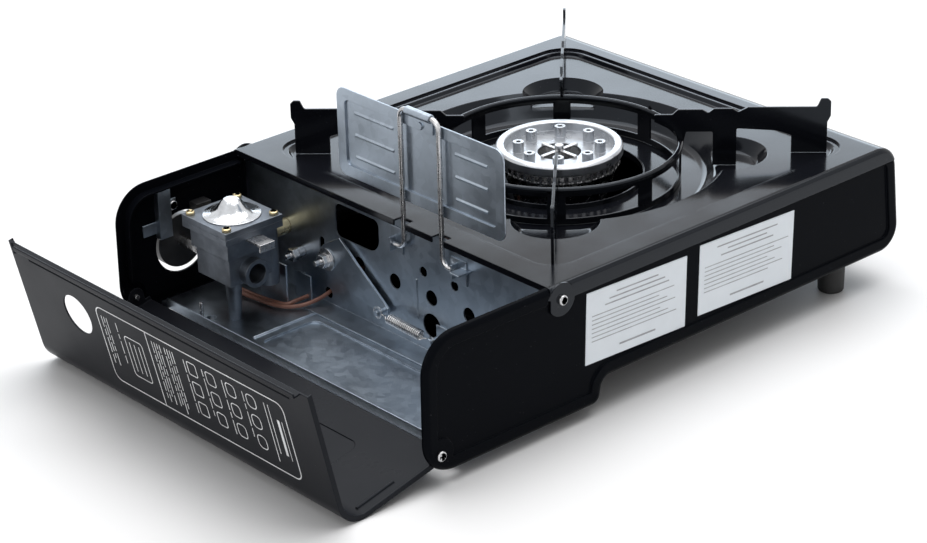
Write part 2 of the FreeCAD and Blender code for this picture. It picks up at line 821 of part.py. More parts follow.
def partition_wall():
    """Galvanised wall between burner and cartridge, pierced for air, levers and leads."""
    low_x = S.wall_x - S.sheet
    top_z = S.rim_z - S.skin - S.sheet
    wall = box(low_x, S.wall_x, -BACK_Y, BACK_Y, FLOOR_Z, top_z)
    strip = box(low_x, S.wall_x + S.strip_wide, -S.floor_half, S.floor_half, FLOOR_Z, FLOOR_Z + S.sheet)
    wall = wall.fuse(strip)
    round_holes = [(S.vent_y + k * S.vent_pitch, S.vent_z, S.vent_r) for k in range(4)]
    round_holes += [
        (S.wide_vent_y, S.wide_vent_z, S.wide_vent_r),
        (S.bail_y0 + S.pin_long, S.bail_hole_z, S.bail_hole_r),
        (S.bail_y1 + S.pin_long / 2, S.bail_hole_z, S.bail_hole_r),
        (S.lead_hole_y, S.lead_hole_z, S.lead_hole_r),
        (S.outlet_y, S.tube_z, S.jet_r + S.fit),
        (S.bolt_y, S.bolt_z, S.pin_r + S.fit),
        (S.arm_y, S.arm_z, S.pin_r + S.fit),
    ]
    for y, z, radius in round_holes:
        wall = wall.cut(bar(radius, Vector(low_x - S.sheet, y, z), Vector(S.wall_x + S.sheet, y, z)))
    window = rounded([
        (S.window_y0, S.window_z0, S.window_r),
        (S.window_y1, S.window_z0, S.window_cut_r),
        (S.window_y1, S.window_z1, S.window_r),
        (S.window_y0, S.window_z1, S.window_r),
    ], end_on(low_x - S.sheet))
    slit_r = S.slit_wide / 2 - S.fit
    slit = rounded([
        (S.slit_y - S.slit_wide / 2, S.slit_z - S.slit_high / 2, slit_r),
        (S.slit_y + S.slit_wide / 2, S.slit_z - S.slit_high / 2, slit_r),
        (S.slit_y + S.slit_wide / 2, S.slit_z + S.slit_high / 2, slit_r),
        (S.slit_y - S.slit_wide / 2, S.slit_z + S.slit_high / 2, slit_r),
    ], end_on(low_x - S.sheet))
    through = Vector(3 * S.sheet, 0, 0)
    wall = wall.cut(prism(window, through)).cut(prism(slit, through))
    crease_low = Vector(S.wall_x, S.crease_y, S.crease_z0)
    crease_high = Vector(S.wall_x, S.crease_y, S.crease_z1)
    crease = bar(S.crease_r, crease_low, crease_high)
    return wall.fuse(crease)


feature("partition_wall", partition_wall())


def compartment_floor():
    """Floor of the cartridge compartment: raised border round a sunk tray, lip on the open side."""
    low_x = S.wall_x - 2 * S.sheet + S.fit
    floor = box(low_x, S.floor_x, -S.floor_half, S.floor_half, BAY_Z, FLOOR_Z)
    tray = rounded([
        (S.tray_x0, S.tray_y0, S.tray_r),
        (S.tray_x1, S.tray_y0, S.tray_r),
        (S.tray_x1, S.tray_y1, S.tray_r),
        (S.tray_x0, S.tray_y1, S.tray_r),
    ], plan_at(BAY_Z + S.sheet))
    floor = floor.cut(prism(tray, Vector(0, 0, FAR)))
    lip_half = S.floor_half - S.lip_short
    low_z = FLOOR_Z - S.floor_sink
    lip = box(S.floor_x - S.sheet, S.floor_x, -lip_half, lip_half, low_z, FLOOR_Z + S.floor_lip)
    ridge_x = S.wall_x + S.strip_wide + S.fit
    ridge_y = S.tray_y0 - S.ridge_gap
    ridge = bar(S.sheet, Vector(ridge_x, ridge_y, FLOOR_Z), Vector(S.tray_x1, ridge_y, FLOOR_Z))
    floor = floor.fuse(lip).fuse(ridge.common(box(0, FAR, -FAR, FAR, low_z, FAR)))
    pin_hole = Vector(S.pin_hole_x, S.pin_hole_y, 0)
    return floor.cut(bar(S.pin_hole_r, pin_hole, pin_hole + Vector(0, 0, FAR)))


feature("compartment_floor", compartment_floor())


def foot(label, x, y, top):
    """Rubber foot with a sunk screw seat, turned about its own axis."""
    body = doc.addObject("PartDesign::Body", label)
    revolve(body, [
        ("screw_r + fit", "2 * head_high"),
        ("head_r + 4 * fit", "2 * head_high"),
        ("head_r + 4 * fit", "0"),
        ("foot_r - skin / 2", "0"),
        ("foot_r", "skin"),
        ("foot_r + skin / 2", top),
        ("screw_r + fit", top),
    ])
    return node(label, body, x, y)


PAN_TEXT = "(base_z + skin + fit)"
BAY_TEXT = "(bay_z + skin + fit)"
foot("foot_left_rear", "foot_x", "foot_y", PAN_TEXT)
foot("foot_left_front", "foot_x", "(-foot_y)", PAN_TEXT)
foot("foot_right_rear", "short_foot_x", "short_foot_y", BAY_TEXT)
foot("foot_right_front", "short_foot_x", "(-short_foot_y)", BAY_TEXT)


def foot_screw(x, y, top):
    head = rod("head_r", "head_high", x, y, "head_high")
    shank = rod("screw_r", "%s - head_high" % top, x, y, "head_high")
    return fuse(head, shank)


node("foot_screws", group(
    foot_screw("foot_x", "foot_y", "(base_z + skin + fit + sheet)"),
    foot_screw("foot_x", "-foot_y", "(base_z + skin + fit + sheet)"),
    foot_screw("short_foot_x", "short_foot_y", BAY_TEXT),
    foot_screw("short_foot_x", "-short_foot_y", BAY_TEXT),
))


def rating_labels():
    """Two bare stickers on the rear panel's field, set on at a slight tilt."""
    shapes = []
    for number in range(2):
        centre = Vector(S.label_x - number * S.label_pitch, FIELD_Y, S.label_z)
        sticker = box(centre.x - S.label_long / 2, centre.x + S.label_long / 2,
                      FIELD_Y, FIELD_Y + S.label_thick,
                      centre.z - S.label_high / 2, centre.z + S.label_high / 2)
        sticker.rotate(centre, Vector(0, 1, 0), -S.label_tilt)
        shapes.append(sticker)
    return Part.makeCompound(shapes)


feature("rating_labels", rating_labels())


HEAD_ROUND = 0.45
CROSS_REACH = 0.62
CROSS_WIDE = 0.25


def pan_head(at, out, radius, high, shank, shank_r):
    """Cross-recessed screw: domed head standing out along a direction, shank the other way."""
    top = at + out * high
    head = bar(radius, at, top)
    head = head.makeFillet(high * HEAD_ROUND, [edge for edge in head.Edges
                                               if (edge.CenterOfMass - top).Length < 1e-3])
    reach = radius * CROSS_REACH
    wide = radius * CROSS_WIDE
    for turn in (0, 90):
        cross = Part.makeBox(2 * reach, wide, high)
        cross.translate(Vector(-reach, -wide / 2, 0))
        cross.rotate(Vector(), Vector(0, 0, 1), turn)
        turned_out = Placement(at + out * high * HEAD_ROUND, Rotation(Vector(0, 0, 1), out))
        cross.Placement = turned_out * cross.Placement
        head = head.cut(cross)
    return head.fuse(bar(shank_r, at, at - out * shank))


def screws_both_ends(x, z, shank, face_y):
    shapes = []
    for side in (-1, 1):
        at = Vector(x, side * face_y, z)
        shapes.append(pan_head(at, Vector(0, side, 0), S.head_r, S.head_high, shank, S.screw_r))
    return shapes


feature("housing_screws", Part.makeCompound(screws_both_ends(S.boss_x, BOSS_Z, S.skin * 2, S.half_depth)))


def lid_pivot_screws():
    shapes = []
    pair = screws_both_ends(S.hinge_x, S.hinge_z, S.end_gap + 2 * S.skin, S.half_depth)
    for side, screw in zip((-1, 1), pair):
        near = Vector(S.hinge_x, side * (S.lid_half + S.fit), S.hinge_z)
        far = Vector(S.hinge_x, side * (S.half_depth - S.skin), S.hinge_z)
        shapes.append(screw.fuse(bar(2 * S.screw_r, near, far)))
    return Part.makeCompound(shapes)


feature("lid_pivot_screws", lid_pivot_screws())

# The lid is pressed in its closed place and then swung open until its fold meets the table.
LID_OUT = S.hinge_x + S.lid_reach
LID_TOP = S.rim_z - S.lid_drop
LID_FREE = S.seam_x + S.lid_gap_x
fold_dx = S.lid_reach - S.lid_fold_r
fold_dz = LID_TOP - S.lid_fold_r - S.hinge_z
fold_drop = S.lid_fold_r + S.lid_table_gap - S.hinge_z
LID_OPEN = math.degrees(math.atan2(-fold_dx, fold_dz) + math.acos(fold_drop / math.hypot(fold_dx, fold_dz)))


def lid_section(deep, y0, y1):
    tail_z = S.hinge_z - S.lid_tail
    corners = [
        (LID_FREE - deep, tail_z - deep, 0),
        (LID_OUT - deep, tail_z - deep, 0),
        (LID_OUT - deep, LID_TOP - deep, S.lid_fold_r - deep),
        (LID_FREE - deep, LID_TOP - deep, 0),
    ]
    return prism(rounded(corners, side_on(y0)), Vector(0, y1 - y0, 0))


def lid_panel():
    """Two-sided pressed cover of the compartment, hemmed at both ends, hung on two ears."""
    half = S.lid_half
    lid = lid_section(0, -half, half).cut(lid_section(S.sheet, -half - 1, half + 1))
    ear_hole = Vector(S.hinge_x, -FAR, S.hinge_z)
    for side in (-1, 1):
        y0 = min(side * half, side * (half - S.sheet))
        y1 = y0 + S.sheet
        hem = lid_section(0, y0, y1).cut(lid_section(S.lid_hem, y0 - 1, y1 + 1))
        ear = bar(S.ear_r, Vector(S.hinge_x, y0, S.hinge_z), Vector(S.hinge_x, y1, S.hinge_z))
        web = box(S.hinge_x, LID_OUT - S.sheet / 2, y0, y1, S.hinge_z - S.ear_r, S.hinge_z + S.ear_r)
        lid = lid.fuse([hem, ear, web])
    strip_z = S.rim_z + 2 * S.fit
    strip_y = (-half + S.strip_short, half - S.strip_end)
    strip = box(LID_FREE - S.strip_over, LID_FREE + S.sheet, *strip_y, strip_z, strip_z + S.sheet)
    riser = box(LID_FREE, LID_FREE + S.sheet, *strip_y, LID_TOP - S.sheet, strip_z + S.sheet)
    hook_at = Vector(LID_FREE, -half + S.hook_in, LID_TOP - S.sheet / 2)
    hook = bar(S.hook_r, hook_at, hook_at + Vector(S.strip_high, 0, 0))
    groove_half = Vector(0, half - S.groove_in, 0)
    groove_at = Vector(LID_FREE + S.strip_high, 0, LID_TOP)
    groove = bar(S.sheet / 2, groove_at - groove_half, groove_at + groove_half)
    rib_z = (S.hinge_z + 1.5 * S.lid_fold_r, LID_TOP - S.lid_fold_r)
    lid = lid.fuse([strip, riser, hook]).cut(groove)
    for side in (-1, 1):
        rib_y = side * S.lid_rib_y
        inner_x = LID_OUT - S.sheet
        rib = bar(S.sheet, Vector(inner_x, rib_y, rib_z[0]), Vector(inner_x, rib_y, rib_z[1]))
        lid = lid.fuse(rib.common(box(0, LID_OUT - S.sheet / 2, -FAR, FAR, 0, FAR)))
    low_z = S.hinge_z + S.lid_fold_r * 0.8
    field = rounded([
        (-S.lid_field_half, low_z, S.lid_field_r),
        (S.lid_field_half, low_z, S.lid_field_r),
        (S.lid_field_half, LID_TOP - S.lid_fold_r, S.lid_field_r),
        (-S.lid_field_half, LID_TOP - S.lid_fold_r, S.lid_field_r),
    ], end_on(LID_OUT - S.sheet - S.lid_field_deep))
    lid = lid.cut(prism(field, Vector(S.sheet, 0, 0)))
    hole = Vector(S.lid_hole_x, S.lid_hole_y, 0)
    lid = lid.cut(bar(S.lid_hole_r, hole, hole + Vector(0, 0, FAR)))
    lid = lid.cut(bar(S.screw_r + S.fit / 2, ear_hole, ear_hole + Vector(0, 2 * FAR, 0)))
    lid.rotate(Vector(S.hinge_x, 0, S.hinge_z), Vector(0, 1, 0), LID_OPEN)
    return lid


feature("lid_panel", lid_panel())


# Burner, built on its own axis.
def turned(label, points):
    body = doc.addObject("PartDesign::Body", label + "_body")
    revolve(body, points)
    return body


def spread(count, radius, start=0.0):
    for number in range(count):
        turn = "%g deg" % (start + 360.0 * number / count)
        yield "%s * cos(%s)" % (radius, turn), "%s * sin(%s)" % (radius, turn)


BOWL_RIM = 4.0
bowl = turned("burner_bowl", [
    ("0", "bowl_z"),
    ("bowl_low_r", "bowl_z"),
    ("bowl_r", "port_low_z - %g" % BOWL_RIM),
    ("bowl_r", "port_low_z"),
    ("bowl_r - bowl_wall", "port_low_z"),
    ("bowl_r - bowl_wall", "port_low_z - %g + bowl_wall / 3" % BOWL_RIM),
    ("bowl_low_r - bowl_wall", "bowl_z + bowl_wall"),
    ("0", "bowl_z + bowl_wall"),
])
inlet = rod("tube_r + fit / 2", "bowl_r", "0", "-bowl_r", "tube_z", "y")
node("burner_bowl", cut(bowl, inlet), "burner_x")

PORTS = 44


def burner_port_ring():
    """Flame ring: a band of square ports under the head."""
    low = Vector(0, 0, S.port_low_z)
    high = Vector(0, 0, S.head_low_z)
    ring = bar(S.port_out_r, low, high).cut(bar(S.port_out_r - S.port_wall, low, high))
    ports = []
    for number in range(PORTS):
        port = box(S.port_out_r - S.port_wall - 1, S.port_out_r + 1, -S.port_wide / 2, S.port_wide / 2,
                   S.port_low_z + S.skin, S.head_low_z - S.skin / 2)
        port.rotate(Vector(), Vector(0, 0, 1), 360.0 * number / PORTS)
        ports.append(port)
    return ring.cut(ports)


node_ring = doc.addObject("Part::Feature", "burner_port_ring")
node_ring.Shape = burner_port_ring()
node("burner_port_ring", node_ring, "burner_x")

head = turned("burner_head", [
    ("well_hole_r", "head_low_z"),
    ("head_out_r - skin", "head_low_z"),
    ("head_out_r", "head_low_z + skin"),
    ("head_out_r", "head_top_z - skin"),
    ("head_out_r - skin", "head_top_z"),
    ("head_in_r + skin / 2", "head_top_z"),
    ("head_in_r", "head_top_z - skin / 2"),
    ("head_in_r", "head_floor_z"),
    ("well_hole_r", "head_floor_z"),
])
POSTS = 8
FIRST_POST = 0.0
posts = [rod("post_r", "head_top_z + post_up - head_floor_z + fit", x, y, "head_floor_z - fit")
         for x, y in spread(POSTS, "post_circle_r", FIRST_POST)]
post_holes = [rod("post_hole_r", "head_top_z", x, y, "head_floor_z + 2 * fit")
              for x, y in spread(POSTS, "post_circle_r", FIRST_POST)]
node("burner_head", cut(fuse(head, *posts), *post_holes), "burner_x")

bridge_half = "well_hole_r + skin"
node("burner_bridge", fuse(
    block("-(%s)" % bridge_half, bridge_half, "-skin", "skin", "head_floor_z", "head_floor_z + skin"),
    block("-skin", "skin", "-(%s)" % bridge_half, bridge_half, "head_floor_z", "head_floor_z + skin"),
    rod("2 * skin", "head_top_z - head_floor_z - skin", "0", "0", "head_floor_z"),
), "burner_x")


def tube(points, bend, radius):
    """Round bar along straight runs joined by tangent arcs; returns the solid and its length."""
    edges = []
    start = points[0]
    for before, here, after in zip(points, points[1:], points[2:]):
        to_before = (before - here).normalize()
        to_after = (after - here).normalize()
        half = to_before.getAngle(to_after) / 2
        shorter = min((before - here).Length, (after - here).Length)
        corner_r = bend if bend else 0.45 * shorter * math.tan(half)
        reach = corner_r / math.tan(half)
        first = here + to_before * reach
        last = here + to_after * reach
        middle = (to_before + to_after).normalize()
        mid = here + middle * (corner_r / math.sin(half) - corner_r)
        edges.append(Part.LineSegment(start, first).toShape())
        edges.append(Part.Arc(first, mid, last).toShape())
        start = last
        if not bend:
            print("bend radius", round(corner_r, 1))
    edges.append(Part.LineSegment(start, points[-1]).toShape())
    path = Part.Wire(edges)
    circle = Part.Wire(Part.Circle(points[0], points[1] - points[0], radius).toShape())
    solid = path.makePipeShell([circle], True, False)
    length = sum(edge.Length for edge in edges)
    expected = math.pi * radius ** 2 * length
    if abs(solid.Volume / expected - 1) > 0.01:
        print("tube volume off", solid.Volume, expected)
    return solid


def mixing_tube():
    """Air and gas tube from the jet round to the side of the burner bowl."""
    points = [
        Vector(S.wall_x - S.tube_start, S.outlet_y, S.tube_z),
        Vector(S.burner_x, S.outlet_y, S.tube_z),
        Vector(S.burner_x, -S.bowl_low_r - S.tube_stop, S.tube_z),
    ]
    outer = tube(points, S.tube_bend, S.tube_r)
    inner = tube(points, S.tube_bend, S.tube_r - S.tube_wall)
    return outer.cut(inner)


feature("mixing_tube", mixing_tube())

PAN_TOP = PAN_TEXT + " + sheet"
BRACKET_Y = ("-bracket_wide", "bracket_wide")
node("burner_bracket", fuse(
    block("burner_x - bracket_half", "burner_x + bracket_half", "-bracket_foot", "bracket_foot",
          PAN_TOP, PAN_TOP + " + sheet"),
    block("burner_x - bracket_half", "burner_x - bracket_half + sheet", *BRACKET_Y, PAN_TOP, "bowl_z"),
    block("burner_x + bracket_half - sheet", "burner_x + bracket_half", *BRACKET_Y, PAN_TOP, "bowl_z"),
    block("burner_x - bracket_half", "burner_x + bracket_half", *BRACKET_Y, "bowl_z - sheet", "bowl_z"),
))

JET_IN = "wall_x - tube_start + 2 * sheet"
node("gas_jet", cut(
    fuse(
        rod("jet_r", "reg_x - reg_block_half - (%s)" % JET_IN, JET_IN, "outlet_y", "tube_z", "x"),
        rod("jet_r / 2", "jet_neck", "%s - jet_neck" % JET_IN, "outlet_y", "tube_z", "x"),
    ),
    rod("jet_bore_r", "reg_x - burner_x", "burner_x", "outlet_y", "tube_z", "x"),
))


def electrode():
    """Ceramic spark electrode on a strap from the burner bowl, tip just off the flame ring."""
    turn = math.radians(S.electrode_turn)
    out = Vector(math.cos(turn), math.sin(turn), 0)
    centre = Vector(S.burner_x, 0, 0)
    foot_at = centre + out * S.electrode_reach
    stick_top = foot_at + Vector(0, 0, S.port_low_z)
    stick = bar(S.electrode_r, foot_at + Vector(0, 0, S.electrode_low_z), stick_top)
    wire_top = foot_at + Vector(0, 0, S.head_low_z - S.skin)
    wire = bar(S.spark_wire_r, stick_top, wire_top)
    tip_in = S.electrode_reach - S.head_out_r - S.spark_gap
    tip = bar(S.spark_wire_r, wire_top - out * tip_in, wire_top + out * S.spark_wire_r)
    strap = box(S.bowl_r - S.strap_in, S.electrode_reach, -S.strap_half, S.strap_half,
                S.strap_z, S.strap_z + S.sheet)
    strap.rotate(Vector(), Vector(0, 0, 1), S.electrode_turn)
    strap.translate(centre)
    cup_high = S.port_low_z - BOWL_RIM - S.bowl_z
    cup = Part.makeCone(S.bowl_low_r, S.bowl_r, cup_high, centre + Vector(0, 0, S.bowl_z))
    return stick.fuse([wire, tip, strap.cut(cup)])


feature("electrode", electrode())

# Pressure regulator and what is screwed to it.
COVER_TOP = "(cover_z + cover_thick)"
FLANGE_LOW = "(cover_z - cover_thick)"
FLOOR_TEXT = "(%s + sheet + floor_step)" % BAY_TEXT


def square(half, low, high):
    return block("reg_x - %s" % half, "reg_x + %s" % half,
                 "reg_y - %s" % half, "reg_y + %s" % half, low, high)


def corner_rods(radius, low, high):
    return [rod(radius, "(%s) - (%s)" % (high, low), "reg_x + %d * screw_pitch / 2" % sx,
                "reg_y + %d * screw_pitch / 2" % sy, low)
            for sx in (-1, 1) for sy in (-1, 1)]


node("regulator_body", cut(
    fuse(
        square("reg_block_half", "reg_block_z", FLANGE_LOW),
        square("cover_half", FLANGE_LOW, "cover_z"),
        square("shoulder_half", FLANGE_LOW + " - shoulder_high", FLANGE_LOW),
        rod("nozzle_r - fit", "nozzle_end_y - nozzle_ring - reg_y", "nozzle_x", "reg_y", "nozzle_z", "y"),
        rod("tower_r", "cover_z - skin - tower_z", "tower_x", "tower_y", "tower_z"),
        taper("leg_r", "leg_r + skin", "reg_block_z - %s + fit" % FLOOR_TEXT, "leg_x", "leg_y", FLOOR_TEXT),
    ),
    rod("reg_block_half - skin", "diaphragm_deep", "reg_x", "reg_y", "cover_z - diaphragm_deep"),
    rod("reg_block_half", "skin", "reg_x", "reg_y", "cover_z - skin"),
    rod("spindle_r + fit / 2", "spindle_in + sheet", "knob_x", "reg_y - reg_block_half", "knob_z", "y"),
    rod("nozzle_bore_r", "nozzle_deep", "nozzle_x", "nozzle_end_y - nozzle_deep", "nozzle_z", "y"),
    *corner_rods("screw_r", FLANGE_LOW + " - sheet", "cover_z + sheet"),
))

node("regulator_diaphragm", rod("reg_block_half - fit", "skin - fit", "0", "0", "0"),
     "reg_x", "reg_y", "cover_z - skin")

node("regulator_cover", cut(
    square("cover_half", "cover_z", COVER_TOP),
    rod("dome_r - dome_rim", "cover_thick * 2", "reg_x", "reg_y", "cover_z"),
    *corner_rods("screw_r", "cover_z - sheet", COVER_TOP + " + sheet"),
))

DOME_PLUG = "dome_r - dome_rim - 4 * fit"
dome = turned("regulator_dome", [
    ("0", "cover_thick / 2"),
    (DOME_PLUG, "cover_thick / 2"),
    (DOME_PLUG, "cover_thick"),
    ("dome_r", "cover_thick"),
    ("dome_r", "cover_thick + skin / 2"),
    ("dome_r - dome_rim", "cover_thick + skin"),
    ("dome_r * 0.55", "cover_thick + dome_high * 0.38"),
    ("dome_r * 0.375", "cover_thick + dome_high * 0.8"),
    ("dome_r * 0.25", "cover_thick + dome_high"),
    ("0", "cover_thick + dome_high"),
])
node("regulator_dome", dome, "reg_x", "reg_y", "cover_z")


def regulator_screws():
    shapes = []
    top = S.cover_z + S.cover_thick
    for sx in (-1, 1):
        for sy in (-1, 1):
            at = Vector(S.reg_x + sx * S.screw_pitch / 2, S.reg_y + sy * S.screw_pitch / 2, top)
            shank = 2 * S.cover_thick - 2 * S.skin
            screw = pan_head(at, Vector(0, 0, 1), S.head_r * 0.9, S.head_high, shank, S.screw_r - S.fit)
            shapes.append(screw)
    return Part.makeCompound(shapes)


feature("regulator_screws", regulator_screws())

node("inlet_nozzle", cut(
    rod("nozzle_r", "nozzle_ring", "nozzle_x", "nozzle_end_y - nozzle_ring", "nozzle_z", "y"),
    rod("nozzle_bore_r", "3 * nozzle_ring", "nozzle_x", "nozzle_end_y - 2 * nozzle_ring", "nozzle_z", "y"),
))
NOZZLE_BACK = "nozzle_end_y - nozzle_deep"
node("inlet_seal", cut(
    rod("nozzle_bore_r", "seal_thick", "nozzle_x", NOZZLE_BACK, "nozzle_z", "y"),
    rod("nozzle_bore_r / 2", "2 * seal_thick", "nozzle_x", NOZZLE_BACK + " - seal_thick / 2",
        "nozzle_z", "y"),
))
node("inlet_stem", rod("nozzle_bore_r / 2 - fit / 2", "stem_long", "0", "0", "0", "z"),
     "nozzle_x", NOZZLE_BACK, "nozzle_z", AXES["y"])

GUIDE_X = ("nozzle_x - guide_wide / 2", "nozzle_x + guide_wide / 2")
node("cartridge_guide_tab", fuse(
    block(*GUIDE_X, "reg_y + cover_half - skin", "guide_end_y", FLANGE_LOW + " - guide_thick", FLANGE_LOW),
    block(*GUIDE_X, "guide_end_y - guide_thick", "guide_end_y", FLANGE_LOW + " - guide_drop", FLANGE_LOW),
))
SHELF_X = "tower_x - shelf_left"
SHELF_Y = "outlet_y - sheet"
node("regulator_bracket", fuse(
    block(SHELF_X, SHELF_X + " + shelf_thick", SHELF_Y, "tower_y + tower_r - shelf_gap",
          FLOOR_TEXT, "reg_block_z"),
    block("wall_x + strip_wide + fit", SHELF_X + " + shelf_thick", SHELF_Y, "tower_y - 2 * sheet",
          FLOOR_TEXT, FLOOR_TEXT + " + shelf_thick"),
    block(SHELF_X, "tower_x + shelf_right", SHELF_Y, "tower_y - tower_r - shelf_gap",
          "reg_block_z - shelf_thick", "reg_block_z"),
))

FIELD_FRONT = "(-half_depth + field_deep)"
BACK_FRONT = "(-half_depth + field_deep + skin)"
IGNITER_X = ("igniter_x - igniter_half", "igniter_x + igniter_half")
node("igniter", fuse(
    rod("igniter_r", "reg_y - reg_block_half - %s - igniter_r" % BACK_FRONT, "igniter_x",
        BACK_FRONT + " + igniter_r", "knob_z + igniter_rise", "y"),
    block(*IGNITER_X, BACK_FRONT, BACK_FRONT + " + igniter_r + sheet",
          "knob_z + 3 * igniter_rise", "knob_z + 3 * igniter_rise + igniter_tail"),
    block("igniter_x - igniter_half", "igniter_x", BACK_FRONT + " + igniter_r",
          BACK_FRONT + " + igniter_r + shelf_thick", "knob_z + igniter_rise + sheet",
          "knob_z + 3 * igniter_rise + igniter_tail"),
))

# Knob, its spindle and the ring round its opening in the front panel.
KNOB_IN = "(-half_depth + field_deep + fit)"
KNOB_FACE = "-half_depth - knob_skirt"
SPINDLE_TIP = "-half_depth - knob_out * spindle_share"
COLLAR_Y = "reg_y - reg_block_half - collar_thick - sheet"
node("valve_spindle", fuse(
    rod("spindle_r", "reg_y - reg_block_half + spindle_in - (%s)" % SPINDLE_TIP,
        "knob_x", SPINDLE_TIP, "knob_z", "y"),
    rod("spindle_r * 1.6", "collar_thick", "knob_x", COLLAR_Y, "knob_z", "y"),
))
node("control_knob", cut(
    fuse(
        rod("knob_r", "%s - (%s)" % (KNOB_IN, KNOB_FACE), "knob_x", KNOB_FACE, "knob_z", "y"),
        taper("knob_r - 1.5 * knob_chamfer", "knob_r", "knob_chamfer", "knob_x",
              KNOB_FACE + " - knob_chamfer", "knob_z", "y"),
        block("knob_x - grip_thick / 2", "knob_x + grip_thick / 2", "-half_depth - knob_out", "-half_depth",
              "knob_z - knob_r + knob_chamfer", "knob_z + knob_r - knob_chamfer"),
    ),
    rod("spindle_r", "%s - (%s) + sheet" % (KNOB_IN, SPINDLE_TIP), "knob_x", SPINDLE_TIP, "knob_z", "y"),
    block("knob_x - grip_slot / 2", "knob_x + grip_slot / 2", "-half_depth - knob_out - sheet",
          "-half_depth - knob_out + sheet", "knob_z", "knob_z + knob_r"),
))

LEVER_NECK_TOP = "(lever_neck_z + lever_neck_high)"
node("dial_plate", cut(
    rod("knob_hole_r + dial_wide", "dial_thick", "knob_x", FIELD_FRONT + " - dial_thick", "knob_z", "y"),
    rod("knob_hole_r", "3 * dial_thick", "knob_x", FIELD_FRONT + " - 2 * dial_thick", "knob_z", "y"),
    block("lever_x - 2 * lever_neck_half", "lever_x + 2 * lever_neck_half", FIELD_FRONT + " - 2 * dial_thick",
          FIELD_FRONT + " + dial_thick", "lever_neck_z - lever_travel - sheet", LEVER_NECK_TOP),
))

# Cartridge lock: a sliding lever in a channel behind the front panel.
CHANNEL_LEFT = "lever_x - lever_half"
CHANNEL_RIGHT = "lever_x + lever_half"
CHANNEL_BACK = BACK_FRONT + " + channel_deep"
FLAP_BACK = BACK_FRONT + " + channel_wall"
CHANNEL_Z = ("lever_low_z", "lever_top_z")
FLAP_LOW = "lever_low_z + 3 * channel_wall"
FLAP_SCREW_Z = "lever_top_z - channel_screw_drop"
node("lever_channel", fuse(
    block(CHANNEL_LEFT, CHANNEL_RIGHT, CHANNEL_BACK + " - channel_wall", CHANNEL_BACK, *CHANNEL_Z),
    block(CHANNEL_LEFT, CHANNEL_LEFT + " + channel_wall", BACK_FRONT, CHANNEL_BACK, *CHANNEL_Z),
    block(CHANNEL_RIGHT + " - channel_wall", CHANNEL_RIGHT, BACK_FRONT, CHANNEL_BACK, *CHANNEL_Z),
    block(CHANNEL_RIGHT + " - channel_wall / 2", CHANNEL_RIGHT + " + channel_flap + 2 * channel_wall",
          BACK_FRONT, FLAP_BACK, FLAP_LOW, FLAP_LOW + " + channel_flap"),
    cut(block(CHANNEL_LEFT + " - 2 * head_r", CHANNEL_LEFT + " + channel_wall / 2", BACK_FRONT, FLAP_BACK,
              FLAP_SCREW_Z + " - channel_flap / 2", FLAP_SCREW_Z + " + channel_flap / 2"),
        rod("screw_r", "4 * channel_wall", CHANNEL_LEFT + " - head_r", BACK_FRONT + " - channel_wall",
            FLAP_SCREW_Z, "y")),
))
LEVER_IN = "(channel_wall + lever_play)"
node("lock_lever", fuse(
    block(CHANNEL_LEFT + " + " + LEVER_IN, CHANNEL_RIGHT + " - " + LEVER_IN, BACK_FRONT + " + lever_play",
          CHANNEL_BACK + " - " + LEVER_IN, "lever_neck_z - 4 * channel_wall",
          LEVER_NECK_TOP + " + 4 * channel_wall"),
    block("lever_x - lever_neck_half", "lever_x + lever_neck_half", FIELD_FRONT + " - tip_out / 2", FLAP_BACK,
          "lever_neck_z", LEVER_NECK_TOP),
    block("lever_x - tip_left", "lever_x + tip_right", FIELD_FRONT + " - tip_out", FIELD_FRONT + " - tip_gap",
          "lever_neck_z - sheet", "lever_neck_z - sheet + tip_high"),
))
lever_screw_at = Vector(S.lever_x - S.lever_half - S.head_r, S.channel_wall - BACK_Y,
                        S.lever_top_z - S.channel_screw_drop)
feature("lever_screw", pan_head(lever_screw_at, Vector(0, 1, 0), S.head_r, S.head_high, S.channel_wall,
                                S.screw_r - S.fit))


def threaded_end(y, z, parts):
    """Bolt through the partition: head behind it, then discs or nuts given as (radius, from, to, sides)."""
    head = Vector(S.wall_x - S.bolt_tail, y, z)
    shape = bar(S.pin_r, head, Vector(S.wall_x + S.bolt_long, y, z))
    shape = shape.fuse(bar(2 * S.pin_r, head, Vector(S.wall_x - S.sheet, y, z)))
    for radius, start, end, sides in parts:
        at = Vector(S.wall_x + start, y, z)
        if sides:
            turns = [2 * math.pi * k / sides for k in range(sides + 1)]
            corners = [at + Vector(0, radius * math.cos(turn), radius * math.sin(turn)) for turn in turns]
            shape = shape.fuse(prism(Part.makePolygon(corners), Vector(end - start, 0, 0)))
        else:
            shape = shape.fuse(bar(radius, at, Vector(S.wall_x + end, y, z)))
    return shape


ARM_X = S.wall_x + S.arm_gap
NUT_SIDES = 6
spacer = S.nut_thick + S.washer_thick
plain_bolt = threaded_end(S.bolt_y, S.bolt_z, [
    (S.washer_r, 0, spacer, 0),
    (S.nut_r, spacer, spacer + S.nut_thick, NUT_SIDES),
])
washer_at = S.arm_gap + S.arm_thick + S.fit
pivot_bolt = threaded_end(S.arm_y, S.arm_z, [
    (3 * S.pin_r, 0, S.arm_gap - S.fit, 0),
    (S.wide_washer_r, washer_at, washer_at + S.washer_thick, 0),
    (S.nut_r, washer_at + S.washer_thick, washer_at + S.washer_thick + S.nut_thick, NUT_SIDES),
])
feature("link_bolts", Part.makeCompound([plain_bolt, pivot_bolt]))

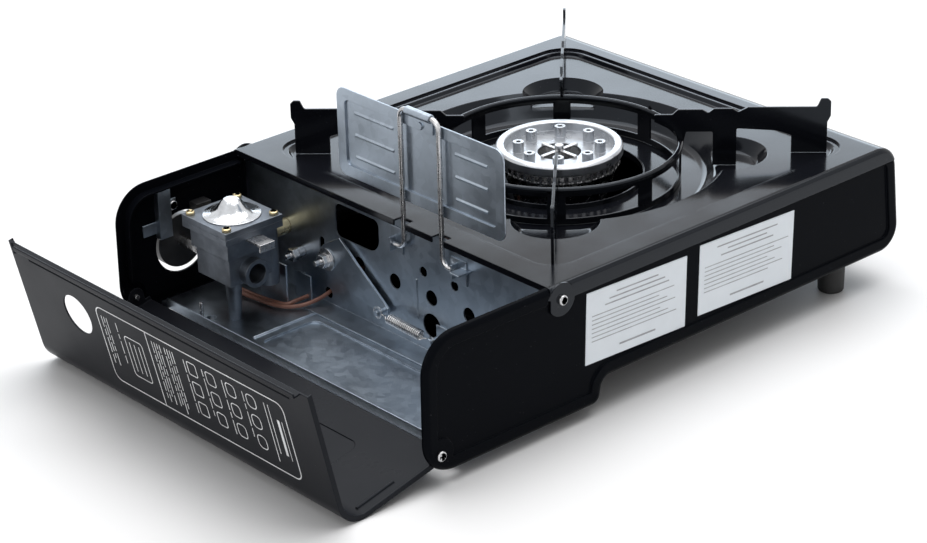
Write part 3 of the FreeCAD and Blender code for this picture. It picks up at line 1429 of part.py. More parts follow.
arm_body = doc.addObject("PartDesign::Body", "link_plate")
arm_sketch = sketch(arm_body, "YZ_Plane", "wall_x + arm_gap")
draw_polygon(arm_sketch, [
    ("arm_y - 7", "arm_z + 3"),
    ("arm_y - 3", "arm_z + 8"),
    ("arm_y + 10.9", "arm_z + 16.3"),
    ("arm_y + 22.1", "arm_z + 7.5"),
    ("hook_y - 1", "hook_z + 4.4"),
    ("hook_y + 2.8", "hook_z + 1.4"),
    ("hook_y + 2.8", "hook_z - 1.6"),
    ("hook_y - 1", "hook_z - 3.6"),
    ("arm_y + 20", "arm_z - 14"),
    ("arm_y - 2", "arm_z - 7.5"),
    ("arm_y - 7", "arm_z - 3"),
])
draw_circle(arm_sketch, "arm_y", "arm_z", "pin_r + fit / 2")
pad(arm_body, arm_sketch, "arm_thick")
node("link_arm", fuse(
    arm_body,
    rod("pin_r", "spring_x - wall_x - arm_gap + pin_tail", "wall_x + arm_gap", "hook_y", "hook_z", "x"),
))

node("spring_anchor", fuse(
    block("wall_x", "wall_x + sheet",
          "anchor_y - anchor_half + pin_tail", "anchor_y + anchor_half + pin_tail",
          "anchor_z - anchor_half", "anchor_z + anchor_half"),
    rod("pin_r", "spring_x - wall_x + pin_tail", "wall_x", "anchor_y", "anchor_z", "x"),
    rod("pin_r * 1.6", "sheet", "spring_x + pin_tail - sheet / 2", "anchor_y", "anchor_z", "x"),
))


def biarc(start, start_way, end, end_way):
    """Two tangent arcs that join two points with given directions."""
    chord = end - start
    both = start_way + end_way
    gap = 1 - start_way.dot(end_way)
    along = chord.dot(both)
    reach = (math.sqrt(along ** 2 + 2 * gap * chord.dot(chord)) - along) / (2 * gap)
    joint = (start + start_way * reach + end - end_way * reach) / 2

    def arc(begin, way, finish):
        run = finish - begin
        unit = Vector(run).normalize()
        side = way - unit * way.dot(unit)
        lean = way.getAngle(run)
        mid = (begin + finish) / 2 + side.normalize() * (run.Length / 2 * math.tan(lean / 2))
        return Part.Arc(begin, mid, finish).toShape()

    second = arc(end, -end_way, joint)
    second.reverse()
    return [arc(start, start_way, joint), second]


def toggle_spring():
    """Closed-wound pull spring between the anchor post and the link arm's hook pin, an eye at each end."""
    count = int(S.spring_turns)
    span = math.hypot(S.anchor_y - S.hook_y, S.anchor_z - S.hook_z)
    eye_out = S.pin_r + S.fit / 2 + 2 * S.spring_wire_r
    loose_out = eye_out + S.loose_eye
    coil_long = count * S.spring_pitch
    first_y = (span - eye_out - loose_out - coil_long) / 2 + eye_out
    pitch_rise = S.spring_pitch / (2 * math.pi * S.spring_r)

    def on_coil(turns):
        angle = 2 * math.pi * turns
        return Vector(S.spring_x + S.spring_r * math.cos(angle), -first_y - S.spring_pitch * turns,
                      S.spring_r * math.sin(angle))

    def way(turns):
        angle = 2 * math.pi * turns
        return Vector(-math.sin(angle), -pitch_rise, math.cos(angle)).normalize()

    back = Vector(0, -1, 0)
    straight = 2 * S.spring_wire_r
    near_eye = Vector(S.spring_x, -eye_out + S.spring_wire_r, 0)
    near_bend = near_eye + back * (straight + S.spring_wire_r)
    far_eye = Vector(S.spring_x, -span + loose_out - S.spring_wire_r, 0)
    far_bend = far_eye - back * (straight + S.spring_wire_r)
    edges = [Part.LineSegment(near_eye, near_bend).toShape()]
    edges += biarc(near_bend, back, on_coil(0), way(0))
    samples = []
    for quarter in range(4 * count):
        now = quarter / 4
        then = (quarter + 1) / 4
        edges += biarc(on_coil(now), way(now), on_coil(then), way(then))
        samples += [on_coil((quarter + k / 6) / 4) for k in range(6)]
    edges += biarc(on_coil(count), way(count), far_bend, back)
    edges.append(Part.LineSegment(far_bend, far_eye).toShape())
    least = min((samples[i] - samples[k]).Length
                for i in range(len(samples)) for k in range(i + 12, len(samples)))
    print("spring: least gap to itself", round(least - 2 * S.spring_wire_r, 3))
    circle = Part.Wire(Part.Circle(near_eye, back, S.spring_wire_r).toShape())
    wire = Part.Wire(edges).makePipeShell([circle], True, False)
    half = Vector(S.spring_wire_r, 0, 0)
    eyes = []
    for y, outer in ((0.0, eye_out), (-span, loose_out)):
        at = Vector(S.spring_x, y, 0)
        hole = bar(outer - 2 * S.spring_wire_r, at - half * 2, at + half * 2)
        eyes.append(bar(outer, at - half, at + half).cut(hole))
    spring = wire.fuse(eyes)
    lean = math.degrees(math.atan2(S.hook_z - S.anchor_z, S.anchor_y - S.hook_y))
    spring.rotate(Vector(), Vector(1, 0, 0), -lean)
    spring.translate(Vector(0, S.anchor_y, S.anchor_z))
    return spring


feature("toggle_spring", toggle_spring())


# Heat plate hung on a wire bail.
def wire_bail():
    low_left = Vector(S.bail_x, S.bail_y0, S.bail_z)
    low_right = Vector(S.bail_x, S.bail_y1, S.bail_z)
    top_left = Vector(S.bail_x, S.bail_y0, S.bail_top_z)
    top_right = Vector(S.bail_x, S.bail_y1, S.bail_top_z)
    points = [low_left - Vector(0, S.pin_long, 0), low_left, top_left, top_right, low_right,
              low_right + Vector(0, S.pin_long, 0)]
    return tube(points, S.bail_bend_r, S.bail_wire_r)


feature("wire_bail", wire_bail())
BAIL_HOLE = "bail_wire_r + fit / 2"


def ear(y):
    return block("wall_x", "bail_x + bail_wire_r + skin", y, "%s + skin" % y,
                 "bail_z - ear_half", "bail_z + ear_half")


LEFT_PIN_Y = "bail_y0 - pin_long"
RIGHT_PIN_Y = "bail_y1 + pin_long"
node("bail_bracket_left", cut(
    fuse(
        block("wall_x", "wall_x + sheet", LEFT_PIN_Y + " - 2 * sheet", "bail_y0 - ear_half",
              "bail_z - 1.5 * ear_half", "bail_z + 2.25 * ear_half"),
        ear(LEFT_PIN_Y + " + sheet"),
    ),
    rod(BAIL_HOLE, "6 * sheet", "bail_x", LEFT_PIN_Y + " - sheet", "bail_z", "y"),
))
node("bail_bracket_right", cut(
    fuse(
        block("wall_x", "wall_x + sheet", "bail_y1 + ear_half", RIGHT_PIN_Y + " + 5 * sheet",
              "bail_z - 2 * ear_half", "bail_z + 1.5 * ear_half"),
        ear(RIGHT_PIN_Y + " - sheet - skin"),
        block("wall_x", "wall_x + 9 * sheet", RIGHT_PIN_Y + " + sheet", RIGHT_PIN_Y + " + 8 * sheet",
              "bail_z + sheet", "bail_z + 2 * sheet"),
    ),
    rod(BAIL_HOLE, "6 * sheet", "bail_x", RIGHT_PIN_Y + " - 4 * sheet", "bail_z", "y"),
))

HEAT_FRONT = S.bail_x - S.bail_wire_r - S.bead_gap
HEAT_BACK = HEAT_FRONT - S.heat_sheet
PLATE_TOP = S.heat_z + S.heat_high / 2


def heat_outline(shrink, x):
    half_y = S.heat_long / 2 - shrink
    half_z = S.heat_high / 2 - shrink
    radius = max(S.heat_r - shrink / 2, 1.0)
    return rounded([
        (S.heat_y - half_y, S.heat_z - half_z, radius),
        (S.heat_y + half_y, S.heat_z - half_z, radius),
        (S.heat_y + half_y, S.heat_z + half_z, radius),
        (S.heat_y - half_y, S.heat_z + half_z, radius),
    ], end_on(x))


def heat_plate():
    """Galvanised plate with a sunk middle and short beads across it."""
    plate = prism(heat_outline(0, HEAT_BACK), Vector(S.heat_sheet, 0, 0))
    press = Vector(S.heat_sheet + S.heat_press, 0, 0)
    back = prism(heat_outline(S.heat_border - S.heat_sheet, HEAT_BACK - S.heat_press), press)
    sunk = prism(heat_outline(S.heat_border, HEAT_FRONT - S.heat_press), Vector(FAR, 0, 0))
    plate = plate.fuse(back).cut(sunk)
    half = S.heat_long / 2 - S.heat_border - S.bead_short
    bead_x = HEAT_FRONT - S.heat_press - S.bead_sink
    spans = ((S.heat_y - half, S.bail_y0 - S.bead_bail_gap), (S.bail_y1 + S.bead_bail_gap, S.heat_y + half))
    for y0, y1 in spans:
        for level in (-1, 0, 1):
            z = S.heat_z + level * S.heat_high / 4
            plate = plate.fuse(bar(S.bead_r, Vector(bead_x, y0, z), Vector(bead_x, y1, z)))
    return plate


feature("heat_plate", heat_plate())


def heat_plate_clip():
    """Strap riveted to the plate and rolled round the bail's crossbar."""
    middle = (S.bail_y0 + S.bail_y1) / 2
    y0 = middle - S.clip_half
    y1 = middle + S.clip_half
    bore_r = S.bail_wire_r + S.fit / 2
    outer = bar(bore_r + S.clip_wall, Vector(S.bail_x, y0, S.bail_top_z), Vector(S.bail_x, y1, S.bail_top_z))
    strap = box(HEAT_FRONT, HEAT_FRONT + S.clip_wall, y0, y1, PLATE_TOP - S.strap_drop, S.bail_top_z - bore_r)
    rivet_at = Vector(HEAT_FRONT + S.clip_wall, middle, PLATE_TOP - S.rivet_drop)
    rivet = bar(S.rivet_r, rivet_at, rivet_at + Vector(S.rivet_high, 0, 0))
    bore = bar(bore_r, Vector(S.bail_x, 0, S.bail_top_z), Vector(S.bail_x, S.half_depth, S.bail_top_z))
    return outer.fuse([strap, rivet]).cut(bore)


feature("heat_plate_clip", heat_plate_clip())

TAB_X = "wall_x + lead_tab_out"
STRIP_TOP = FLOOR_TEXT + " + sheet"
node("lead_tab", fuse(
    block(TAB_X + " - sheet", TAB_X, "lead_tab_y", "lead_tab_y + lead_tab_long",
          STRIP_TOP, STRIP_TOP + " + lead_tab_high"),
    block("wall_x", TAB_X, "lead_tab_y", "lead_tab_y + sheet",
          STRIP_TOP, STRIP_TOP + " + 0.75 * lead_tab_high"),
))
node("floor_pin", rod("floor_pin_r", "floor_pin_high", "0", "0", "0"),
     "floor_pin_x", "floor_pin_y", FLOOR_TEXT)


def ignition_lead():
    """Two insulated leads from the igniter low behind the regulator, one on to the electrode."""
    out = math.radians(S.electrode_turn)
    reach = S.electrode_reach
    end = Vector(S.burner_x + reach * math.cos(out), reach * math.sin(out), S.electrode_low_z)
    spark = [
        Vector(121, -108, 39.4),
        Vector(121, -107.4, 28),
        Vector(119.6, -105.5, 17),
        Vector(115.4, -96, 12.6),
        Vector(113.6, -85, 12.2),
        Vector(112.4, -75, 12.3),
        Vector(109.4, -65.6, 12.2),
        Vector(101, -59.6, 12.6),
        Vector(90, -56.6, 14.8),
        Vector(78, -56.1, 19),
        Vector(62, -54, 25),
        Vector(40, -50, 27),
        Vector(12, -46.6, 26.8),
        Vector(-16, -42, 27),
        Vector(-42, -37, 28),
        Vector(end.x + 3, end.y - 3, 34),
        Vector(end.x, end.y, 45),
        end,
    ]
    earth = [
        Vector(118, -111, 39.4),
        Vector(118.2, -110.4, 28),
        Vector(117, -107.6, 17),
        Vector(112.6, -97, 12.6),
        Vector(110.8, -86, 12.2),
        Vector(109.4, -76, 12.3),
        Vector(106.8, -67.6, 12.2),
        Vector(100.4, -66, 13.4),
        Vector(93, -66, 13.4),
    ]
    return Part.makeCompound([tube(spark, 0, S.lead_r), tube(earth, 0, S.lead_r)])


feature("ignition_lead", ignition_lead())

# Pan support: a windowed ring with four radial sheet arms, standing loose in the well.
RING_Z = S.dish_z + S.rest_gap
FLOOR_REST = S.well_z + S.rest_gap
SEAT_REST = S.well_z - S.seat_deep + S.rest_gap


WINDOWS = 8


def pan_ring():
    centre = Vector(S.burner_x, 0, 0)
    outer_r = S.ring_r + S.ring_wall / 2
    inner_r = S.ring_r - S.ring_wall / 2
    low = centre + Vector(0, 0, RING_Z)
    high = centre + Vector(0, 0, S.ring_top_z)
    ring = bar(outer_r, low, high).cut(bar(inner_r, low, high))
    windows = []
    pitch = 360 / WINDOWS
    for number in range(WINDOWS):
        cutter = Part.makeCylinder(outer_r + S.ring_wall, S.window_high_z - S.window_low_z,
                                   Vector(0, 0, S.window_low_z), Vector(0, 0, 1), S.window_turn)
        cutter.rotate(Vector(), Vector(0, 0, 1), pitch * (number + 0.5) - S.window_turn / 2)
        cutter.translate(centre)
        windows.append(cutter)
    roll = Part.makeTorus(S.ring_r, S.roll_r, high, Vector(0, 0, 1))
    return ring.cut(windows).fuse(roll)


feature("pan_ring", pan_ring())


def pan_arm(turn):
    """One radial arm, drawn as distance from the burner's axis and height.

    A finger reaches in over the ring, the inner leg stands in a round seat and
    the outer leg in the well's corner.
    """
    hub = S.ring_r
    top = S.ring_top_z
    neck = top + S.neck_low
    arch = top + S.arch_rise
    crest = top + S.crest_rise
    dip = crest - S.crest_dip
    bump = crest + S.crest_step - S.crest_dip / 2
    shelf = crest + S.crest_step - S.crest_dip / 4
    tip = top + S.tip_rise
    finger = hub - S.finger_in
    inner_a = S.seat_reach - S.inner_leg_wide / 2
    inner_b = S.seat_reach + S.inner_leg_wide / 2
    outer_b = hub + S.leg_out
    outer_a = outer_b - S.leg_wide
    profile = [
        (finger, crest - S.finger_sink / 2, 1),
        (finger, dip, 1),
        (hub - S.arm_tab - S.bump_slant, dip, 1),
        (hub - S.arm_tab, crest, 1),
        (hub + S.bump_in - 2 * S.bump_slant, crest, 1),
        (hub + S.bump_in - S.bump_slant, dip + S.crest_dip / 3, 1),
        (hub + S.bump_in, bump, 1),
        (hub + S.bump_out, bump, 1),
        (hub + S.bump_out + S.bump_slant, dip + S.crest_dip / 2, 1),
        (hub + S.shelf_in, shelf, 1),
        (outer_b - S.tip_wide - S.tip_slant / 2, shelf, 1.5),
        (outer_b - S.tip_slant, tip, 1),
        (outer_b, tip, 1),
        (outer_b + S.tip_over, tip - S.tip_over, 0.8),
        (outer_b + S.tip_over, tip - S.tip_deep, 1),
        (outer_b, tip - S.tip_deep - S.tip_slant, 1),
        (outer_b, FLOOR_REST, 0.5),
        (outer_a, FLOOR_REST, 0.5),
        (outer_a, arch - S.arch_rise / 2, 1),
        (outer_a - S.arch_rise, arch - S.arch_rise / 6, 2),
        (inner_b, arch, 1),
        (inner_b, SEAT_REST, 0.5),
        (inner_a, SEAT_REST, 0.5),
        (inner_a, neck, 1),
        (hub + 2 * S.arm_tab, neck, 0.5),
        (hub + S.arm_tab, top, 0),
        (hub - S.arm_tab, top, 0),
        (hub - 2 * S.arm_tab, neck, 0.5),
    ]
    arm = prism(rounded(profile, side_on(-S.arm_sheet / 2)), Vector(0, S.arm_sheet, 0))
    arm = arm.cut(Part.makeTorus(S.ring_r, S.roll_r, Vector(0, 0, S.ring_top_z), Vector(0, 0, 1)))
    arm.rotate(Vector(), Vector(0, 0, 1), turn)
    arm.translate(Vector(S.burner_x, 0, 0))
    return arm


for label, turn in (("rear_right", 45), ("rear_left", 135), ("front_left", 225), ("front_right", 315)):
    feature("pan_arm_" + label, pan_arm(turn))


def whole_bounds():
    bounds = FreeCAD.BoundBox()
    for item in NODES:
        bounds.add(item.Shape.BoundBox)
    return bounds


doc.recompute()
bounds = whole_bounds()
frame_x = (bounds.XMin + bounds.XMax) / 2
frame_y = (bounds.YMin + bounds.YMax) / 2
for alias, number in (("frame_x", frame_x), ("frame_y", frame_y)):
    sheet.set(sheet.getCellFromAlias(alias), repr(round(number, 4)))
doc.recompute()

faults = [item.Name + " " + str(item.State) for item in doc.Objects
          if "Invalid" in item.State or "Error" in item.State]
for item in NODES:
    shape = item.Shape
    if shape.isNull() or not shape.isValid() or not shape.Solids:
        faults.append(item.Label + " has no sound solid")
if len({item.Label for item in NODES}) != len(NODES) or len(NODES) > 60:
    faults.append("node names")
if faults:
    raise RuntimeError("; ".join(faults))

os.makedirs("parts", exist_ok=True)
for item in NODES:
    item.Shape.exportStep("parts/%s.step" % item.Label)

whole = whole_bounds()
print("nodes", len(NODES), "size", round(whole.XLength, 2), round(whole.YLength, 2), round(whole.ZLength, 2),
      "lowest", round(whole.ZMin, 3))
for name, spot in (
    ("lid hinge", (S.hinge_x, 0, S.hinge_z)),
    ("bail hinge", (S.bail_x, (S.bail_y0 + S.bail_y1) / 2, S.bail_z)),
    ("heat plate hinge", (S.bail_x, (S.bail_y0 + S.bail_y1) / 2, S.bail_top_z)),
    ("knob", (S.knob_x, -S.half_depth, S.knob_z)),
    ("lock lever", (S.lever_x, -S.half_depth, S.lever_neck_z)),
    ("link pivot", (ARM_X, S.arm_y, S.arm_z)),
    ("spring anchor", (S.spring_x, S.anchor_y, S.anchor_z)),
    ("pan support", (S.burner_x, 0, RING_Z)),
):
    print(name, [round(spot[0] - frame_x, 2), round(spot[1] - frame_y, 2), round(spot[2], 2)])
print("lid opens", round(LID_OPEN, 2))
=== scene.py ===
import bmesh
import bpy
import json
import math
from mathutils import Matrix, Vector

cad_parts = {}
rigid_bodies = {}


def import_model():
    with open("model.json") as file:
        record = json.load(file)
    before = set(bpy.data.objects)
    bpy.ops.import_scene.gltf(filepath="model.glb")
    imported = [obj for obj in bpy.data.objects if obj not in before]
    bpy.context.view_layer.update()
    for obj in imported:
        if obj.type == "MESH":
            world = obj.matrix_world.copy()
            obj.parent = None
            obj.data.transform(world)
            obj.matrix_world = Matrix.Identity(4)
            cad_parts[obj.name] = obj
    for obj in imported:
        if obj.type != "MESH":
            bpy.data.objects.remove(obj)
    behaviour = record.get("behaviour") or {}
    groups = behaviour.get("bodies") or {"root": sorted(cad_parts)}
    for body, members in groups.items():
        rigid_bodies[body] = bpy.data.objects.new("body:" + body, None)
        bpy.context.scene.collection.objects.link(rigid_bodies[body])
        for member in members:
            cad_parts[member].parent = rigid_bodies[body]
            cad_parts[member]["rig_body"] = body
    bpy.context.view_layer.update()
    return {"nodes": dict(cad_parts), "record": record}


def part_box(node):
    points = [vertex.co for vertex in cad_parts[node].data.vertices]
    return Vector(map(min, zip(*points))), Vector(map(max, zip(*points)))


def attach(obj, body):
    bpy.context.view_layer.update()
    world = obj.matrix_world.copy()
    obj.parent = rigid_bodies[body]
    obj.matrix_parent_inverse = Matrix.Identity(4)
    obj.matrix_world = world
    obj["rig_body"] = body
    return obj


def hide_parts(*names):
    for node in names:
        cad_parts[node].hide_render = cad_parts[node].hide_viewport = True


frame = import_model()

# Looks of the open cassette stove: enamelled and galvanised sheet, cast regulator, printed labels without words.
# Lengths are millimetres until they are put into a mesh, which is in metres.
MM = 0.001


def middle(node):
    low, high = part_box(node)
    return (low + high) / 2


def mm_box(node):
    low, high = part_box(node)
    return low / MM, high / MM


# Places that other sizes hang on, read from the frame.
BURNER = middle("burner_head") / MM
RIM_Z = mm_box("top_plate")[1].z
REAR_FACE = mm_box("rear_panel")[1].y
FRONT_FACE = -mm_box("front_panel")[0].y
# Levels and radii of the pressed top, about the burner's axis.
WELL_Z = 79.5
DISH_R, DISH_LOW_R, DISH_Z = 92.0, 80.0, 66.0
SEAT_REACH, SEAT_R, SEAT_Z = 90.3, 23.5, 72.1
BODY_OF = {name: node["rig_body"] for name, node in frame["nodes"].items()}
SLOT_OF = {row["node"]: row["material_slot"] for row in frame["record"]["subparts"]}


# Materials
def new_material(name, colour, metallic, roughness):
    material = bpy.data.materials.new(name)
    material.use_nodes = True
    shader = material.node_tree.nodes["Principled BSDF"]
    shader.inputs["Base Color"].default_value = (*colour, 1.0)
    shader.inputs["Metallic"].default_value = metallic
    shader.inputs["Roughness"].default_value = roughness
    return material


def add(material, kind, **values):
    node = material.node_tree.nodes.new(kind)
    for name, value in values.items():
        if name in node.inputs:
            node.inputs[name].default_value = value
        else:
            setattr(node, name, value)
    return node


def link(material, source, target):
    material.node_tree.links.new(source, target)


def shader_of(material):
    return material.node_tree.nodes["Principled BSDF"]


def object_space(material, stretch=(1, 1, 1)):
    coordinates = add(material, "ShaderNodeTexCoord")
    mapping = add(material, "ShaderNodeMapping")
    mapping.inputs["Scale"].default_value = stretch
    link(material, coordinates.outputs["Object"], mapping.inputs["Vector"])
    return mapping.outputs["Vector"]


def noise(material, size_mm, detail=3.0, stretch=(1, 1, 1)):
    texture = add(material, "ShaderNodeTexNoise")
    texture.inputs["Scale"].default_value = 1.0 / (size_mm * MM)
    texture.inputs["Detail"].default_value = detail
    link(material, object_space(material, stretch), texture.inputs["Vector"])
    return texture.outputs["Fac"]


def ramp(material, source, stops):
    node = add(material, "ShaderNodeValToRGB")
    while len(node.color_ramp.elements) < len(stops):
        node.color_ramp.elements.new(0.5)
    for element, (position, colour) in zip(node.color_ramp.elements, stops):
        element.position = position
        element.color = (*colour, 1.0) if len(colour) == 3 else colour
    link(material, source, node.inputs["Fac"])
    return node.outputs["Color"]


def spread(material, source, low, high, socket, centre=0.5, width=0.2):
    """Drives a number of the shader from a texture, between two values."""
    node = add(material, "ShaderNodeMapRange")
    node.inputs["From Min"].default_value = centre - width
    node.inputs["From Max"].default_value = centre + width
    node.inputs["To Min"].default_value = low
    node.inputs["To Max"].default_value = high
    link(material, source, node.inputs["Value"])
    link(material, node.outputs["Result"], shader_of(material).inputs[socket])


def bumps(material, layers):
    """Stacks bump layers given as (height, depth in millimetres, strength)."""
    normal = None
    for height, depth, strength in layers:
        node = add(material, "ShaderNodeBump")
        node.inputs["Strength"].default_value = strength
        node.inputs["Distance"].default_value = depth * MM
        link(material, height, node.inputs["Height"])
        if normal:
            link(material, normal, node.inputs["Normal"])
        normal = node.outputs["Normal"]
    link(material, normal, shader_of(material).inputs["Normal"])


def enamel(name, colour, low, high, orange_peel):
    """Fired or sprayed black coat: faint orange peel, cloudy gloss and a few dust specks."""
    cloud_mm, speck_mm, peel_mm, wave_mm = 28.0, 0.9, 2.6, 34.0
    peel_deep, wave_deep = 0.02, 0.25
    clean_below, dust_above, dust = 0.78, 0.83, (0.08, 0.08, 0.09)
    material = new_material(name, colour, 0.0, low)
    spread(material, noise(material, cloud_mm, 4.0), low, high, "Roughness")
    stops = [(0.0, colour), (clean_below, colour), (dust_above, dust)]
    specks = ramp(material, noise(material, speck_mm, 1.0), stops)
    link(material, specks, shader_of(material).inputs["Base Color"])
    bumps(material, [(noise(material, peel_mm, 2.0), peel_deep, orange_peel),
                     (noise(material, wave_mm, 1.0), wave_deep, orange_peel)])
    return material


def galvanised(name, dark, light, rough):
    """Zinc coated sheet: spangle, rolling streaks and a soft sheen."""
    spangle_mm, cloud_mm, cloud_share = 4.5, 26.0, 0.72
    streak_mm, streak_deep, wave_mm, wave_deep, strength = 1.2, 0.012, 30.0, 0.3, 0.2
    material = new_material(name, light, 1.0, rough)
    cells = add(material, "ShaderNodeTexVoronoi")
    cells.inputs["Scale"].default_value = 1.0 / (spangle_mm * MM)
    link(material, object_space(material), cells.inputs["Vector"])
    tone = add(material, "ShaderNodeRGBToBW")
    link(material, cells.outputs["Color"], tone.inputs["Color"])
    clouds = noise(material, cloud_mm, 3.0)
    blend = add(material, "ShaderNodeMix", data_type="FLOAT")
    blend.inputs["Factor"].default_value = cloud_share
    link(material, tone.outputs["Val"], blend.inputs["A"])
    link(material, clouds, blend.inputs["B"])
    link(material, ramp(material, blend.outputs["Result"], [(0.3, dark), (0.7, light)]),
         shader_of(material).inputs["Base Color"])
    spread(material, blend.outputs["Result"], rough - 0.04, rough + 0.05, "Roughness")
    bumps(material, [(noise(material, streak_mm, 2.0, (1, 1, 6)), streak_deep, strength),
                     (noise(material, wave_mm, 1.0), wave_deep, strength)])
    return material


def bare_metal(name, colour, rough, grain_mm, depth):
    """Handled bare metal: uneven tone and gloss over a fine grain."""
    tone_mm, gloss_mm, shade = 7.0, 5.0, 0.72
    material = new_material(name, colour, 1.0, rough)
    darker = tuple(value * shade for value in colour)
    link(material, ramp(material, noise(material, tone_mm, 5.0), [(0.3, darker), (0.65, colour)]),
         shader_of(material).inputs["Base Color"])
    spread(material, noise(material, gloss_mm, 3.0), rough - 0.06, rough + 0.1, "Roughness")
    bumps(material, [(noise(material, grain_mm, 3.0), depth, 0.5)])
    return material


def turned_metal(name, colour, rough, centre):
    """Lathe rings about a vertical axis."""
    tone_mm, gloss_mm, grain_mm, deep, shade = 6.0, 4.0, 0.8, 0.02, 0.8
    rings_scale = 900.0
    material = new_material(name, colour, 1.0, rough)
    coordinates = add(material, "ShaderNodeTexCoord")
    shifted = add(material, "ShaderNodeVectorMath", operation="SUBTRACT")
    shifted.inputs[1].default_value = (centre.x * MM, centre.y * MM, 0.0)
    link(material, coordinates.outputs["Object"], shifted.inputs[0])
    rings = add(material, "ShaderNodeTexWave", wave_type="RINGS", rings_direction="Z")
    rings.inputs["Scale"].default_value = rings_scale
    rings.inputs["Distortion"].default_value = 0.6
    link(material, shifted.outputs["Vector"], rings.inputs["Vector"])
    darker = tuple(value * shade for value in colour)
    link(material, ramp(material, noise(material, tone_mm, 4.0), [(0.3, darker), (0.7, colour)]),
         shader_of(material).inputs["Base Color"])
    spread(material, noise(material, gloss_mm, 3.0), rough - 0.05, rough + 0.08, "Roughness")
    bumps(material, [(rings.outputs["Fac"], deep, 0.35), (noise(material, grain_mm, 2.0), deep, 0.3)])
    return material


def moulded(name, colour, rough, grain_mm, depth, mottle=1.5):
    """Plastic, rubber, paper or ink: a slightly uneven tone over a fine grain."""
    tone_mm, gloss_mm = 9.0, 6.0
    material = new_material(name, colour, 0.0, rough)
    lighter = tuple(min(1.0, value * mottle + 0.004) for value in colour)
    link(material, ramp(material, noise(material, tone_mm, 4.0), [(0.35, colour), (0.75, lighter)]),
         shader_of(material).inputs["Base Color"])
    spread(material, noise(material, gloss_mm, 2.0), rough - 0.05, rough + 0.06, "Roughness")
    bumps(material, [(noise(material, grain_mm, 3.0), depth, 0.5)])
    return material


ENAMEL = enamel("gloss_enamel", (0.0028, 0.0033, 0.0048), 0.15, 0.24, 0.1)
TOP_ENAMEL = enamel("top_enamel", (0.0045, 0.005, 0.0072), 0.1, 0.16, 0.1)
SATIN = enamel("satin_enamel", (0.009, 0.0096, 0.0125), 0.27, 0.36, 0.14)
MATERIALS = {
    "black_enamel": ENAMEL,
    "black_sheet": SATIN,
    "galvanised": galvanised("zinc_sheet", (0.31, 0.355, 0.41), (0.43, 0.49, 0.56), 0.33),
    "steel": bare_metal("bright_steel", (0.62, 0.62, 0.63), 0.24, 0.5, 0.01),
    "chrome": bare_metal("polished_chrome", (0.7, 0.72, 0.75), 0.16, 6.0, 0.02),
    "cast_alloy": bare_metal("cast_alloy", (0.17, 0.19, 0.22), 0.42, 0.9, 0.06),
    "aluminium": turned_metal("turned_aluminium", (0.55, 0.57, 0.6), 0.3, BURNER),
    "zinc_yellow": bare_metal("yellow_zinc", (0.72, 0.6, 0.36), 0.3, 0.5, 0.01),
    "rubber": moulded("black_rubber", (0.012, 0.012, 0.012), 0.62, 0.7, 0.03),
    "plastic": moulded("black_plastic", (0.016, 0.016, 0.017), 0.42, 0.5, 0.02),
    "label": moulded("paper_label", (0.78, 0.825, 0.87), 0.5, 0.6, 0.003, 1.03),
    "lead": moulded("lead_insulation", (0.19, 0.085, 0.06), 0.45, 0.8, 0.02),
    "ceramic": moulded("ceramic_white", (0.7, 0.68, 0.62), 0.35, 0.7, 0.01),
}
PRINT = moulded("white_print", (0.62, 0.63, 0.64), 0.5, 0.6, 0.004)
INK = moulded("grey_ink", (0.3, 0.31, 0.33), 0.55, 0.6, 0.004)
COOL_SHEEN = (0.8, 0.89, 1.0, 1.0)
for coat, level in ((ENAMEL, 0.025), (TOP_ENAMEL, 0.26), (SATIN, 0.1)):
    shader_of(coat).inputs["Specular IOR Level"].default_value = level
    shader_of(coat).inputs["Specular Tint"].default_value = COOL_SHEEN


# Each node's finished shape
# Turns in degrees: a bend counts from BEND_TURN, a sharp edge from SHARP_TURN; less than FLAT_TURN is flat.
BEND_TURN, SHARP_TURN, FLAT_TURN = 14.0, 30.0, 0.4
MERGE_MM = 0.004
EDGE_MM, EDGE_STEPS, BEND_STEPS = 0.3, 2, 5


def only(piece):
    """Selects one object alone and makes it the active one."""
    bpy.ops.object.select_all(action="DESELECT")
    piece.select_set(True)
    bpy.context.view_layer.objects.active = piece


def made(name, mesh, body, material):
    """An object of this mesh: one material, smooth by angle, riding on its body."""
    piece = bpy.data.objects.new(name, mesh)
    bpy.context.scene.collection.objects.link(piece)
    mesh.materials.clear()
    mesh.materials.append(material)
    only(piece)
    bpy.ops.object.shade_smooth_by_angle(angle=math.radians(SHARP_TURN))
    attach(piece, body)
    return piece


def bevel_edges(piece, width, segments, least_turn, test=None):
    """Rounds the open mesh's edges that turn more than this and pass the test."""
    bpy.ops.mesh.select_all(action="DESELECT")
    work = bmesh.from_edit_mesh(piece.data)
    for edge in work.edges:
        if len(edge.link_faces) == 2 and edge.calc_face_angle(0) > math.radians(least_turn):
            edge.select_set(test is None or test(edge))
    bmesh.update_edit_mesh(piece.data)
    bpy.ops.mesh.bevel(offset=width * MM, offset_type="OFFSET", segments=segments, profile=0.5,
                       affect="EDGES", clamp_overlap=False)


